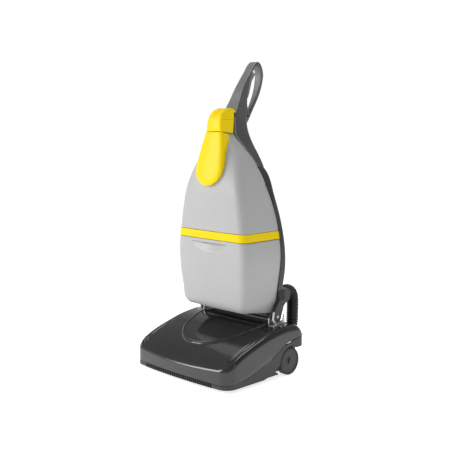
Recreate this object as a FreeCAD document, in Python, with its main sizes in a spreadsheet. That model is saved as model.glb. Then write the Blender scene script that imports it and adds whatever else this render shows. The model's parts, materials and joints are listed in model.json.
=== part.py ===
"""Upright vacuum cleaner for commercial use: floor head with a driven brush, and a reclining body.

Frame: +Z up, -Y is the front, +X the right hand side seen from the front.
The origin lies on the floor under the middle of the machine. Millimetres.
"""
import FreeCAD, Part
import math
import os
import re

from FreeCAD import Placement, Rotation, Vector

doc = FreeCAD.newDocument("upright_vacuum")
nodes = []

DIMS = {
    # floor head
    "head_width": 490, "head_front": 264, "head_rear": 153, "head_top": 178, "head_corner": 45,
    "head_bow": 8, "hood_wall": 3, "hood_round": 22, "ledge_height": 76, "seam_front": 25,
    "seam_gap": 1, "skirt_wall": 4, "skirt_bottom": 12, "plate_bottom": 14, "plate_thick": 6,
    "island_half": 168, "island_rise": 6, "island_front": 190, "island_rear": 28,
    # wheels
    "wheel_radius": 50, "wheel_wide": 23, "wheel_face": 241, "wheel_y": 70, "wheel_recess": 15,
    "tyre_thick": 5, "axle_radius": 6, "arch_gap": 6, "run_fit": 0.05, "side_gap": 0.5,
    # brush and its drive
    "brush_y": 200, "brush_z": 42, "bristle_radius": 39.5, "core_radius": 20, "journal_radius": 5,
    "brush_end_gap": 40, "bristle_thick": 5, "tunnel_radius": 43, "tunnel_wall": 2.5,
    "pulley_wide": 10, "brush_pulley_radius": 18, "motor_pulley_radius": 12, "belt_thick": 3,
    "drive_motor_y": 60, "drive_motor_z": 78, "drive_motor_radius": 34, "drive_motor_long": 120,
    # recline hinge
    "hinge_y": 64, "hinge_z": 206, "lobe_radius": 19, "leg_thick": 14, "leg_gap": 1.5,
    "pin_radius": 5, "cheek_thick": 3.5, "cheek_gap": 0.8, "leg_top": 300,
    # body
    "body_width": 360, "shell_base": 232, "shell_crown": 872, "shell_wall": 3,
    "bin_top": 489, "band_base": 490, "band_top": 520, "frame_proud": 4, "frame_wall": 4,
    "frame_top": 750, "part_gap": 0.5, "grip_half": 100, "grip_top": 478, "grip_low": 439,
    "grip_deep": 16, "pocket_wall": 3,
    # yellow cover door
    "door_pivot_y": 110.2, "door_pivot_z": 690, "door_half": 66, "door_reach": 187, "door_head_half": 42,
    "door_rise": 25, "door_lean": 12, "door_tip": 4, "door_gap": 0.6,
    # control head
    "control_base": 876, "control_low": 846, "control_top": 960, "control_half": 38, "button_base": 918,
    "button_travel": 3,
    # handle
    "handle_base": 925, "handle_top": 1130, "grip_wide": 18, "trigger_half": 7, "trigger_slot": 1,
    # suction hose
    "hose_radius": 24, "hose_x": 115, "hose_up_z": 273, "hose_low_z": 100, "hose_back": 232,
    "hose_wall": 3, "cuff_wall": 4, "cuff_long": 24,
    # suction unit
    "fan_radius": 52, "fan_thick": 11, "fan_case_radius": 70, "fan_case_tall": 22, "fan_case_z": 545,
    "suction_motor_radius": 56, "suction_motor_tall": 88,
    # cable fittings
    "gland_radius": 10, "gland_bore": 4, "gland_long": 18, "gland_x": 60, "gland_z": 350,
    "low_hook_z": 530, "high_hook_z": 690,
}

# Body outline: height share, half width share, back edge y, front edge y, corner radius, bow of the front.
STATIONS = (
    (0.000, 0.875, 64, -78, 34, 3), (0.022, 0.915, 68, -86, 34, 3), (0.110, 0.953, 75, -93, 32, 3),
    (0.190, 0.978, 81, -99, 32, 3), (0.300, 1.000, 85, -102, 32, 3), (0.440, 0.955, 82, -102, 32, 3),
    (0.565, 0.889, 71, -100, 32, 5), (0.685, 0.805, 49, -95, 32, 10), (0.775, 0.700, 34, -84, 34, 17),
    (0.858, 0.555, 18, -68, 34, 24), (0.934, 0.345, 2, -61, 26, 20), (1.000, 0.170, -14, -61, 18, 10),
)
# Rear frame: height, back face y.
FRAME_BACK = ((300, 111), (344, 116), (390, 119), (440, 117), (500, 113), (586, 100),
              (667, 84), (750, 64))
# Hood crown: y and share of the head height.
HOOD_CROWN = ((-1.0, 0.365), (-0.965, 0.427), (-0.88, 0.539), (-0.76, 0.646), (-0.64, 0.725),
              (-0.51, 0.792), (-0.38, 0.848), (-0.23, 0.910), (-0.08, 0.958), (0.04, 0.983),
              (0.15, 1.0), (0.30, 1.0))
HOOD_REAR = ((120, 0.972), (140, 0.90), (153, 0.80))
SEAM = ((-264, 25), (-178, 32), (-147, 39), (-94, 55), (-18, 82), (35, 113), (108, 131), (153, 134))


# ---------------------------------------------------------------- helpers
def make_sheet():
    sheet = doc.addObject("Spreadsheet::Sheet", "dims")
    for row, (name, value) in enumerate(DIMS.items(), 1):
        sheet.set(f"A{row}", name)
        sheet.set(f"B{row}", str(value))
        sheet.setAlias(f"B{row}", name)
    doc.recompute()
    return sheet


sheet = make_sheet()


def size(name):
    return float(sheet.get(name))


def bound(text):
    """The expression with every size name led back to the sheet."""
    return re.sub(r"[a-z_]+[a-z]", lambda m: "dims." + m.group(0) if m.group(0) in DIMS else m.group(0), str(text))


def node(obj, label):
    obj.Label = label
    nodes.append(obj)
    return obj


def place(obj, at, turn=None):
    obj.Placement = Placement(Vector(), turn or Rotation())
    for axis, text in zip("xyz", at):
        obj.setExpression(f"Placement.Base.{axis}", bound(text))
    return obj


def box(name, x, y, z, length, width, height):
    obj = doc.addObject("Part::Box", name)
    for prop, text in (("Length", length), ("Width", width), ("Height", height)):
        obj.setExpression(prop, bound(text))
    return place(obj, (x, y, z))


ALONG = {"x": Rotation(Vector(0, 1, 0), 90), "y": Rotation(Vector(1, 0, 0), -90), "z": Rotation()}


def rod(name, at, radius, length, along="x"):
    obj = doc.addObject("Part::Cylinder", name)
    obj.setExpression("Radius", bound(radius))
    obj.setExpression("Height", bound(length))
    return place(obj, at, ALONG[along])


def cut(name, base, *tools):
    tool = tools[0] if len(tools) == 1 else join(name + "_tools", *tools)
    obj = doc.addObject("Part::Cut", name)
    obj.Base = base
    obj.Tool = tool
    return obj


def join(name, *shapes):
    obj = doc.addObject("Part::MultiFuse", name)
    obj.Shapes = list(shapes)
    obj.Refine = True
    return obj


def both(name, *shapes):
    obj = doc.addObject("Part::MultiCommon", name)
    obj.Shapes = list(shapes)
    return obj


def mirror(name, source):
    obj = doc.addObject("Part::Mirroring", name)
    obj.Source = source
    obj.Normal = Vector(1, 0, 0)
    return obj


def pair(source, label):
    """The right hand piece and its mirrored left hand twin."""
    node(source, label + "_right")
    return node(mirror(label + "_left_piece", source), label + "_left")


def solid(name, shape):
    obj = doc.addObject("Part::Feature", name)
    obj.Shape = shape
    obj.Placement = Placement()
    return obj


def sketch(body, name, plane, points, offset="0"):
    """A closed outline on an origin plane, each corner held at its expressions."""
    drawn = body.newObject("Sketcher::SketchObject", name)
    face = next(f for f in body.Origin.OriginFeatures if f.Role == plane)
    drawn.AttachmentSupport = [(face, "")]
    drawn.MapMode = "FlatFace"
    drawn.setExpression("AttachmentOffset.Base.z", bound(offset))
    values = [(evaluate(u), evaluate(v)) for u, v in points]
    count = len(values)
    for i, (u, v) in enumerate(values):
        nu, nv = values[(i + 1) % count]
        drawn.addGeometry(Part.LineSegment(Vector(u, v, 0), Vector(nu, nv, 0)))
    for i in range(count):
        drawn.addConstraint(sketcher_constraint("Coincident", i, 2, (i + 1) % count, 1))
    for i, (u, v) in enumerate(points):
        for kind, text, value in (("DistanceX", u, values[i][0]), ("DistanceY", v, values[i][1])):
            at = drawn.addConstraint(sketcher_constraint(kind, -1, 1, i, 1, value))
            drawn.setExpression(f"Constraints[{at}]", bound(text))
    return drawn


def sketcher_constraint(*args):
    import Sketcher
    return Sketcher.Constraint(*args)


def evaluate(text):
    """The number that an expression of size names gives."""
    parts = re.findall(r"[a-z_]+[a-z]|[0-9.]+|[-+*/()]", str(text))
    return total(parts)


def total(parts):
    value = term(parts)
    while parts and parts[0] in "+-":
        sign = 1 if parts.pop(0) == "+" else -1
        value += sign * term(parts)
    return value


def term(parts):
    value = factor(parts)
    while parts and parts[0] in "*/":
        value = value * factor(parts) if parts.pop(0) == "*" else value / factor(parts)
    return value


def factor(parts):
    first = parts.pop(0)
    if first == "-":
        return -factor(parts)
    if first == "(":
        value = total(parts)
        parts.pop(0)
        return value
    return size(first) if first in DIMS else float(first)


def pad(label, plane, points, length, offset="0", middle=False):
    """A PartDesign body: one sketched outline, padded."""
    body = doc.addObject("PartDesign::Body", label + "_body")
    drawn = sketch(body, label + "_outline", plane, points, offset)
    feature = body.newObject("PartDesign::Pad", label + "_pad")
    feature.Profile = drawn
    feature.setExpression("Length", bound(length))
    feature.Midplane = middle
    body.Tip = feature
    return body


def wire(points):
    return Part.makePolygon([Vector(*p) for p in points] + [Vector(*points[0])])


def prism_x(points, low, high):
    """An outline in y and z, extruded along x from low to high."""
    face = Part.Face(wire([(low, y, z) for y, z in points]))
    return face.extrude(Vector(high - low, 0, 0))


def prism_y(points, low, high):
    face = Part.Face(wire([(x, low, z) for x, z in points]))
    return face.extrude(Vector(0, high - low, 0))


def prism_z(points, low, high):
    face = Part.Face(wire([(x, y, low) for x, y in points]))
    return face.extrude(Vector(0, 0, high - low))


def slab(low, high, reach=700):
    return Part.makeBox(2 * reach, 2 * reach, high - low, Vector(-reach, -reach, low))


# ---------------------------------------------------------------- floor head shapes
def plan_outline(inset):
    """Head outline from above: bowed front, rounded corners, straight sides."""
    w = size("head_width") / 2 - inset
    front = -size("head_front") + inset
    rear = size("head_rear") - inset
    r = size("head_corner") - inset
    rr = 0.7 * r
    side = front + size("head_bow")
    k = math.sqrt(0.5)
    p = [Vector(-w + r, side, 0), Vector(0, front, 0), Vector(w - r, side, 0),
         Vector(w - r + r * k, side + r - r * k, 0), Vector(w, side + r, 0), Vector(w, rear - rr, 0),
         Vector(w - rr + rr * k, rear - rr + rr * k, 0), Vector(w - rr, rear, 0)]
    flip = [Vector(-q.x, q.y, 0) for q in p]
    return Part.Wire([
        Part.Arc(p[0], p[1], p[2]).toShape(), Part.Arc(p[2], p[3], p[4]).toShape(),
        Part.makeLine(p[4], p[5]), Part.Arc(p[5], p[6], p[7]).toShape(),
        Part.makeLine(p[7], flip[7]), Part.Arc(flip[7], flip[6], flip[5]).toShape(),
        Part.makeLine(flip[5], flip[4]), Part.Arc(flip[4], flip[3], flip[2]).toShape(),
    ])


def plan_block(inset, low, high):
    face = Part.Face(plan_outline(inset))
    face.translate(Vector(0, 0, low))
    return face.extrude(Vector(0, 0, high - low))


def crown_points(drop):
    top = size("head_top")
    front = size("head_front")
    points = [(y * front, top * share - drop) for y, share in HOOD_CROWN]
    shift = size("head_rear") - HOOD_REAR[-1][0]
    return points + [(y + shift, top * share - drop) for y, share in HOOD_REAR]


def under_crown(drop, reach, low=-20):
    """Everything under the hood's crown line, across the whole width."""
    points = crown_points(drop)
    first, last = points[0], points[-1]
    points = [(first[0] - 12, first[1] - 3)] + points + [(last[0] + 12, last[1] - 16)]
    curve = Part.BSplineCurve()
    curve.interpolate([Vector(-reach, y, z) for y, z in points])
    y0, z0 = points[0]
    y1, z1 = points[-1]
    ring = Part.Wire([
        curve.toShape(), Part.makeLine(Vector(-reach, y1, z1), Vector(-reach, y1, low)),
        Part.makeLine(Vector(-reach, y1, low), Vector(-reach, y0, low)),
        Part.makeLine(Vector(-reach, y0, low), Vector(-reach, y0, z0)),
    ])
    return Part.Face(ring).extrude(Vector(2 * reach, 0, 0))


def above_seam(shift):
    reach = size("head_width")
    line = [(y, z + shift) for y, z in SEAM]
    line = [(-2 * size("head_front"), SEAM[0][1] + shift)] + line + [(2 * size("head_front"), line[-1][1])]
    return prism_x(line + [(2 * size("head_front"), 400), (-2 * size("head_front"), 400)], -reach, reach)


def rounded_head(inset, radius):
    """The head's outer form, its long upper edges rounded."""
    block = plan_block(inset, 0, 320).common(under_crown(inset, size("head_width")))
    upper = [e for e in block.Edges if is_side_crest(e)]
    return block.makeFillet(radius, upper)


def is_side_crest(edge):
    box_ = edge.BoundBox
    return box_.ZMin > 60 and box_.YLength > 90 and abs(edge.CenterOfMass.x) > 0.4 * size("head_width")


def make_hood():
    wall = size("hood_wall")
    outer = rounded_head(0, size("hood_round"))
    inner = rounded_head(wall, size("hood_round") - wall)
    shell = outer.cut(inner).common(above_seam(size("seam_gap") / 2)).cut(cuff_clearance())
    return node(solid("hood_form", shell), "hood")


def island_outline(half, front, rear):
    """The raised tongue on the hood: round nose at the front, sides widening to the rear."""
    side = [(half, rear), (0.99 * half, 0), (0.90 * half, -0.263 * front), (0.755 * half, -0.605 * front),
            (0.44 * half, -0.885 * front)]
    line = [(-x, y) for x, y in side] + [(0, -front)] + side[::-1]
    curve = Part.BSplineCurve()
    curve.interpolate([Vector(x, y, 0) for x, y in line])
    return Part.Wire([curve.toShape(), Part.makeLine(Vector(half, rear, 0), Vector(-half, rear, 0))])


def make_island():
    face = Part.Face(island_outline(size("island_half"), size("island_front"), size("island_rear")))
    block = face.extrude(Vector(0, 0, 320))
    reach = size("head_width")
    skin = under_crown(-size("island_rise"), reach).cut(under_crown(0, reach))
    return node(solid("island_form", block.common(skin)), "hood_centre_panel")


def wheel_arch(name, grow):
    return rod(name, ("head_width / 2 - 42", "wheel_y", "wheel_radius"), f"wheel_radius + {grow}", "60")


def skirt_side_form():
    """The band under the hood seam, from the side: it rises over the wheel."""
    front = -size("head_front") - 10
    rear = size("head_rear") + 10
    low = size("skirt_bottom")
    y = size("wheel_y")
    foot = [(front, low), (-72, low), (-14, low + 14), (y - 56, size("wheel_radius")),
            (y + 20, size("wheel_radius")), (y + 20, 96), (rear, 96), (rear, 320), (front, 320)]
    return prism_x(foot, -size("head_width"), size("head_width"))


def cuff_clearance():
    radius = size("hose_radius") + size("cuff_wall") + size("part_gap")
    return Part.makeCylinder(radius, 60, Vector(size("hose_x"), size("head_rear") - 30, size("hose_low_z")),
                             Vector(0, 1, 0))


def make_skirt():
    wall = size("skirt_wall")
    ring = plan_block(0, 0, 320).cut(plan_block(wall, -1, 321))
    ring = ring.common(skirt_side_form()).cut(above_seam(-size("seam_gap") / 2))
    form = solid("skirt_form", ring.cut(cuff_clearance()))
    right = wheel_arch("arch_right", "arch_gap")
    left = mirror("arch_left", right)
    return node(cut("skirt_piece", form, right, left), "base_skirt")


def make_base_plate():
    w = "head_width / 2 - skirt_wall - side_gap"
    rear = "wheel_y - wheel_radius - arch_gap - 8"
    neck = "wheel_face - wheel_wide - 6"
    points = [(f"-({w})", "-head_front + 52"), (f"-({w}) + 12", "-head_front + 28"),
              (f"-({w}) + 40", "-head_front + 14"), (f"{w} - 40", "-head_front + 14"),
              (f"{w} - 12", "-head_front + 28"), (w, "-head_front + 52"), (w, rear),
              (neck, rear), (neck, "wheel_y + 24"), (f"-({neck})", "wheel_y + 24"),
              (f"-({neck})", rear), (f"-({w})", rear)]
    body = pad("base_plate", "XY_Plane", points, "plate_thick", "plate_bottom")
    half = "head_width / 2 - brush_end_gap + 2"
    hole = [(f"-({half})", "-brush_y - tunnel_radius"), (half, "-brush_y - tunnel_radius"),
            (half, "-brush_y + tunnel_radius"), (f"-({half})", "-brush_y + tunnel_radius")]
    drawn = sketch(body, "brush_mouth", "XY_Plane", hole, "plate_bottom")
    pocket = body.newObject("PartDesign::Pocket", "brush_mouth_cut")
    pocket.Profile = drawn
    pocket.Type = 1
    pocket.Midplane = True
    body.Tip = pocket
    return node(body, "base_plate")


def make_front_comb():
    comb = pad("front_comb", "XZ_Plane", [("-171", "2"), ("171", "2"), ("171", "plate_bottom"),
                                          ("-171", "plate_bottom")], "4", "head_front - 16")
    doc.recompute()
    slot = sketch(comb, "comb_slot", "XZ_Plane", [("-166", "1"), ("-161", "1"), ("-161", "10"),
                                                  ("-166", "10")], "head_front - 16")
    pocket = comb.newObject("PartDesign::Pocket", "comb_slot_cut")
    pocket.Profile = slot
    pocket.Type = 1
    pocket.Midplane = True
    doc.recompute()
    pattern = comb.newObject("PartDesign::LinearPattern", "comb_slots")
    pattern.Originals = [pocket]
    pattern.Direction = (slot, ["H_Axis"])
    pattern.Length = 325
    pattern.Occurrences = 33
    comb.Tip = pattern
    return node(comb, "front_comb_strip")


def make_glides():
    foot = box("glide_block", "140", "-brush_y + tunnel_radius + 8", "0", "26", "18", "plate_bottom")
    bridge = box("glide_bridge", "-150", "-brush_y + tunnel_radius + 11", "plate_bottom - 4", "300", "12", "4")
    edges = doc.addObject("Part::Fillet", "glide_round")
    doc.recompute()
    edges.Base = foot
    edges.Edges = [(i + 1, 4.0, 4.0) for i, e in enumerate(foot.Shape.Edges)
                   if e.BoundBox.ZMax < 1 and e.BoundBox.YLength < 1]
    twin = mirror("glide_left", edges)
    node(join("glide_bar", edges, twin, bridge), "front_glide")


# ---------------------------------------------------------------- wheels
def make_wheels():
    inner = "wheel_face - wheel_wide"
    rim = rod("wheel_rim", (inner, "wheel_y", "wheel_radius"), "wheel_radius - tyre_thick", "wheel_wide")
    dish = rod("wheel_dish", ("wheel_face - 3", "wheel_y", "wheel_radius"), "wheel_radius - 12", "10")
    hub = rod("wheel_hub", (inner, "wheel_y", "wheel_radius"), "axle_radius + 7", "wheel_wide")
    bore = rod("wheel_bore", (f"{inner} - 1", "wheel_y", "wheel_radius"), "axle_radius + run_fit",
               "wheel_wide + 2")
    disc = cut("wheel_piece", join("wheel_web", cut("wheel_dished", rim, dish), hub), bore)
    pair(disc, "wheel")
    outer = rod("tyre_outer", (inner, "wheel_y", "wheel_radius"), "wheel_radius", "wheel_wide")
    core = rod("tyre_core", (f"{inner} - 1", "wheel_y", "wheel_radius"), "wheel_radius - tyre_thick",
               "wheel_wide + 2")
    pair(cut("tyre_piece", outer, core), "tyre")


def make_axles():
    block_x = "wheel_face - wheel_wide - side_gap - 22"
    block = box("axle_block", block_x, "wheel_y - 18", "plate_bottom + plate_thick", "22", "36",
                "wheel_radius + 16 - plate_bottom - plate_thick")
    bore = rod("axle_bore", (f"{block_x} - 1", "wheel_y", "wheel_radius"), "axle_radius", "24")
    pair(cut("axle_block_piece", block, bore), "axle_block")
    shank = rod("axle_shank", (block_x, "wheel_y", "wheel_radius"), "axle_radius",
                "wheel_wide + side_gap + 22 + side_gap")
    cap = rod("axle_cap", ("wheel_face + side_gap", "wheel_y", "wheel_radius"), "axle_radius + 3", "3")
    pair(join("axle_piece", shank, cap), "wheel_axle")


# ---------------------------------------------------------------- brush and drive
def brush_half():
    return "(head_width / 2 - brush_end_gap)"


def make_brush():
    half = brush_half()
    at = ("-brush_y", "brush_z")
    core = rod("core_roll", (f"-{half}",) + at, "core_radius", f"2 * {half}")
    shaft = rod("core_shaft", (f"-{half} - 20",) + at, "journal_radius", f"2 * {half} + 28")
    node(join("brush_core_piece", core, shaft), "brush_core")
    blade = box("bristle_row", f"-{half} + 4", "-brush_y - bristle_thick / 2", "brush_z + core_radius - 1",
                f"2 * {half} - 8", "bristle_thick", "bristle_radius - core_radius")
    doc.recompute()
    rows = []
    for i in range(6):
        copy = blade.Shape.copy()
        copy.rotate(Vector(0, -size("brush_y"), size("brush_z")), Vector(1, 0, 0), 60 * i)
        rows.append(copy.cut(Part.makeCylinder(size("core_radius"), size("head_width"),
                                               Vector(-size("head_width") / 2, *centre("brush")), Vector(1, 0, 0))))
    node(solid("bristle_rows", Part.makeCompound(rows)), "brush_bristles")
    wheel = rod("brush_pulley_disc", (f"-{half} - 18",) + at, "brush_pulley_radius", "pulley_wide")
    hole = rod("brush_pulley_bore", (f"-{half} - 19",) + at, "journal_radius", "pulley_wide + 2")
    node(cut("brush_pulley_piece", wheel, hole), "brush_pulley")


def centre(name):
    return (-size(name + "_y"), size(name + "_z"))


def make_brush_ends():
    half = brush_half()
    plate = box("end_plate", f"{half} + side_gap", "-brush_y - 30", "plate_bottom + plate_thick", "5", "60",
                "brush_z + 22 - plate_bottom - plate_thick")
    seat = rod("end_seat", (f"{half} - 2", "-brush_y", "brush_z"), "journal_radius + 6", "12")
    pair(cut("end_plate_piece", plate, seat), "brush_end_plate")
    ring = rod("bearing_ring", (f"{half} + side_gap", "-brush_y", "brush_z"), "journal_radius + 6", "5")
    bore = rod("bearing_bore", (f"{half} - 2", "-brush_y", "brush_z"), "journal_radius + run_fit", "12")
    pair(cut("bearing_piece", ring, bore), "brush_bearing")


def make_tunnel():
    half = brush_half()
    outer = rod("tunnel_outer", (f"-{half}", "-brush_y", "brush_z"), "tunnel_radius + tunnel_wall", f"2 * {half}")
    inner = rod("tunnel_inner", (f"-{half} - 1", "-brush_y", "brush_z"), "tunnel_radius", f"2 * {half} + 2")
    floor = box("tunnel_floor", "-head_width", "-head_front", "-60", "2 * head_width", "2 * head_front",
                "plate_bottom + plate_thick + 60")
    mouth = rod("tunnel_mouth", ("hose_x", "-brush_y", "brush_z + 14"), "hose_radius - 4", "90", "y")
    node(cut("tunnel_piece", outer, inner, floor, mouth), "brush_housing")


def make_drive():
    gap = "brush_end_gap"
    x0 = f"-{brush_half()} - 18"
    at = ("-drive_motor_y", "drive_motor_z")
    case_x = f"-head_width / 2 + {gap} + 24"
    case = rod("drive_case", (case_x,) + at, "drive_motor_radius", "drive_motor_long")
    bore = rod("drive_bore", (f"{case_x} - 1",) + at, "journal_radius + run_fit", "drive_motor_long / 2")
    foot = box("drive_foot", f"{case_x} + 10", "-drive_motor_y - 26", "plate_bottom + plate_thick",
               "drive_motor_long - 20", "52", "drive_motor_z - drive_motor_radius + 8 - plate_bottom - plate_thick")
    node(cut("drive_motor_piece", join("drive_casing", case, foot), bore), "brush_motor")
    shaft = rod("drive_shaft", (x0,) + at, "journal_radius", f"{case_x} + head_width / 2 - {gap} + 18 + 24")
    wheel = rod("motor_pulley_disc", (x0,) + at, "motor_pulley_radius", "pulley_wide")
    node(join("motor_rotor_piece", shaft, wheel), "motor_pulley")


def belt_loop(extra):
    """The outline round both pulleys, as lines and arcs, at a distance outside them."""
    (y0, z0), (y1, z1) = centre("brush"), centre("drive_motor")
    r0, r1 = size("brush_pulley_radius") + extra, size("motor_pulley_radius") + extra
    x = -(size("head_width") / 2 - size("brush_end_gap")) - 18
    span = math.hypot(y1 - y0, z1 - z0)
    slope = math.atan2(z1 - z0, y1 - y0)
    lift = math.acos((r0 - r1) / span)

    def on(y, z, r, angle):
        return Vector(x, y + r * math.cos(angle), z + r * math.sin(angle))

    a, b = slope + lift, slope - lift
    return Part.Wire([
        Part.makeLine(on(y0, z0, r0, a), on(y1, z1, r1, a)),
        Part.Arc(on(y1, z1, r1, a), on(y1, z1, r1, slope), on(y1, z1, r1, b)).toShape(),
        Part.makeLine(on(y1, z1, r1, b), on(y0, z0, r0, b)),
        Part.Arc(on(y0, z0, r0, b), on(y0, z0, r0, slope + math.pi), on(y0, z0, r0, a)).toShape(),
    ])


def make_belt():
    width = Vector(size("pulley_wide"), 0, 0)
    outer = Part.Face(belt_loop(0.3 + size("belt_thick"))).extrude(width)
    inner = Part.Face(belt_loop(0.3)).extrude(width)
    node(solid("belt_form", outer.cut(inner)), "drive_belt")


def make_head_duct():
    y0, z0 = -size("brush_y") + size("tunnel_radius") + 6, size("brush_z") + 14
    y1, z1 = size("head_rear") - size("hood_wall") - 1, size("hose_low_z")
    start, run = Vector(size("hose_x"), y0, z0), Vector(0, y1 - y0, z1 - z0)
    r = size("hose_radius") - 5
    pipe = Part.makeCylinder(r, run.Length, start, run)
    hole = Part.makeCylinder(r - 2.5, run.Length + 4, start - run.normalize() * 2, run)
    node(solid("duct_form", pipe.cut(hole)), "head_duct")


def make_lower_cuff():
    y = "head_rear - hood_wall - 1"
    outer = rod("low_cuff_outer", ("hose_x", y, "hose_low_z"), "hose_radius + cuff_wall", "cuff_long", "y")
    inner = rod("low_cuff_inner", ("hose_x", f"{y} + 6", "hose_low_z"), "hose_radius", "cuff_long", "y")
    hole = rod("low_cuff_hole", ("hose_x", f"{y} - 1", "hose_low_z"), "hose_radius - hose_wall - 1",
               "cuff_long", "y")
    node(cut("low_cuff_piece", outer, inner, hole), "hose_lower_cuff")


# ---------------------------------------------------------------- recline hinge
def leg_inner():
    """Inner face of the leg: just outside the bin's lower side."""
    return size("body_width") / 2 * 0.953 + size("leg_gap")


def leg_side_form():
    y, z, r, top = size("hinge_y"), size("hinge_z"), size("lobe_radius"), size("leg_top")
    clear = station_value(top, 2) + 1
    back = FRAME_BACK[0][1]
    rise = top - z
    points = [(y - r, z), (y - r + 6, z + 0.30 * rise), (clear, z + 0.66 * rise), (clear, top),
              (back, top), (y + r + 12, z + 0.32 * rise), (y + r, z)]
    reach = size("body_width")
    plate = prism_x(points, 0, reach)
    lobe = Part.makeCylinder(r, reach, Vector(0, y, z), Vector(1, 0, 0))
    return plate.fuse(lobe)


def make_legs():
    inner = leg_inner()
    outer = inner + size("leg_thick")
    z, top = size("hinge_z"), size("leg_top")
    lean = outer - frame_half(top)
    low = z - size("lobe_radius") - 5
    rise = top - z
    front = prism_y([(inner, low), (outer, low), (outer, z + 0.617 * rise), (outer - lean, top),
                     (inner - lean, top), (inner, z + 0.66 * rise)], -300, 300)
    leg = leg_side_form().common(front)
    bore = Part.makeCylinder(size("pin_radius") + size("run_fit"), 900, Vector(0, size("hinge_y"), z), Vector(1, 0, 0))
    pair(solid("leg_form", leg.cut(bore)), "body_leg")


def make_brackets():
    inner = leg_inner()
    outer = inner + size("leg_thick")
    gap, thick = size("cheek_gap"), size("cheek_thick")
    y, z, base = size("hinge_y"), size("hinge_z"), size("head_top")
    cheek = prism_x([(y - 33, base), (y + 32, base), (y + 14, z + 10), (y - 12, z + 12), (y - 31, z - 2)],
                    inner - gap - thick, inner - gap)
    arms = prism_x([(y - 28, z + 22), (y - 33, z - 8), (y - 24, base), (y + 34, base), (y + 32, z + 6),
                    (y + 26, z + 6), (y + 24, z - 12), (y + 10, base + 7), (y - 10, base + 7),
                    (y - 26, z - 6), (y - 22, z + 22)], outer + gap, outer + gap + thick)
    sole = prism_x([(y - 30, base), (y + 34, base), (y + 34, base + 3), (y - 30, base + 3)],
                   inner - gap - thick, outer + gap + thick)
    lug = prism_x([(y - 34, base), (y - 10, base), (y - 10, base + 3), (y - 34, base + 3)],
                  inner - gap - thick, outer + gap + thick + 13)
    form = cheek.fuse([arms, sole, lug]).removeSplitter()
    bore = Part.makeCylinder(size("pin_radius"), 900, Vector(0, y, z), Vector(1, 0, 0))
    form = form.cut(bore).cut(under_crown(-0.1, size("head_width")))
    pair(solid("bracket_form", form), "hinge_bracket")
    reach = inner - gap - thick
    pin = Part.makeCylinder(size("pin_radius"), outer - reach + 0.4, Vector(reach, y, z), Vector(1, 0, 0))
    head = Part.makeCylinder(size("pin_radius") + 3, 3, Vector(reach - 3, y, z), Vector(1, 0, 0))
    pair(solid("hinge_pin_form", pin.fuse(head)), "hinge_pin")
    bolt = Part.makeCylinder(5.5, 5, Vector(outer + gap + thick + 6.5, y - 22, base + 3))
    bolt = bolt.fuse(Part.makeCylinder(5.5, 5, Vector((inner + outer) / 2, y + 26, base + 3)))
    node(solid("bracket_bolt_form", Part.makeCompound([bolt, bolt.mirror(Vector(), Vector(1, 0, 0))])), "bracket_bolts")


def make_tie_bar():
    reach = leg_inner() - size("cheek_gap") - size("cheek_thick")
    bar = Part.makeCylinder(3, 2 * reach, Vector(-reach, size("hinge_y") - 24.5, size("hinge_z") - 9.5), Vector(1, 0, 0))
    node(solid("tie_bar_form", bar), "tie_bar")


# ---------------------------------------------------------------- body shell
def station_z(share):
    return size("shell_base") + share * (size("shell_crown") - size("shell_base"))


def station_value(z, column):
    """A station column at any height, by straight interpolation."""
    share = (z - size("shell_base")) / (size("shell_crown") - size("shell_base"))
    pairs = [(s[0], s[column]) for s in STATIONS]
    for (a, va), (b, vb) in zip(pairs, pairs[1:]):
        if a <= share <= b:
            return va + (vb - va) * (share - a) / (b - a)
    return pairs[0][1] if share < pairs[0][0] else pairs[-1][1]


def half_at(z):
    return station_value(z, 1) * size("body_width") / 2


def section(z, w, back, front, r, bow):
    """One level of the body: straight back, parallel sides, corners running smoothly into a bowed front."""
    turn = 0.0
    for _ in range(8):
        turn = 2 * math.atan(bow / (w - r + r * math.sin(turn)))
    half_turn = (math.pi / 2 - turn) / 2
    y = front + r * math.cos(turn)
    p = [Vector(w, back, z), Vector(w, y, z),
         Vector(w - r + r * math.cos(half_turn), y - r * math.sin(half_turn), z),
         Vector(w - r + r * math.sin(turn), front, z)]
    q = [Vector(-v.x, v.y, v.z) for v in p]
    return Part.Wire([
        Part.makeLine(p[0], p[1]), Part.Arc(p[1], p[2], p[3]).toShape(),
        Part.Arc(p[3], Vector(0, front - bow, z), q[3]).toShape(),
        Part.Arc(q[3], q[2], q[1]).toShape(), Part.makeLine(q[1], q[0]), Part.makeLine(q[0], p[0]),
    ])


def body_form(grow):
    """The body's outer form; a negative grow gives the inside of the wall."""
    rings = []
    for share, half, back, front, r, bow in STATIONS:
        w = half * size("body_width") / 2 + grow
        z = station_z(share)
        z = z - grow if share == 0 else z + grow if share == 1 else z
        rings.append(section(z, w, back + grow, front - grow, min(r + grow, 0.9 * w), bow))
    return Part.makeLoft(rings, True, False)


def make_bin():
    outer = body_form(0)
    wall = size("shell_wall")
    inner = body_form(-wall)
    top = size("bin_top")
    cup = outer.common(slab(0, top))
    grip, lining = grip_pocket(0), grip_pocket(size("pocket_wall"))
    hollow = inner.common(slab(0, top + 1)).cut(lining)
    inlet = Part.makeCylinder(size("hose_radius") - 4, 20, Vector(size("hose_x"), station_value(size("hose_up_z"), 2) - 12, size("hose_up_z")), Vector(0, 1, 0))
    form = cup.cut(hollow).cut(grip).cut(inlet)
    node(solid("bin_form", form.fuse([bin_cheek(1), bin_cheek(-1)])), "collection_bin")


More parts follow.
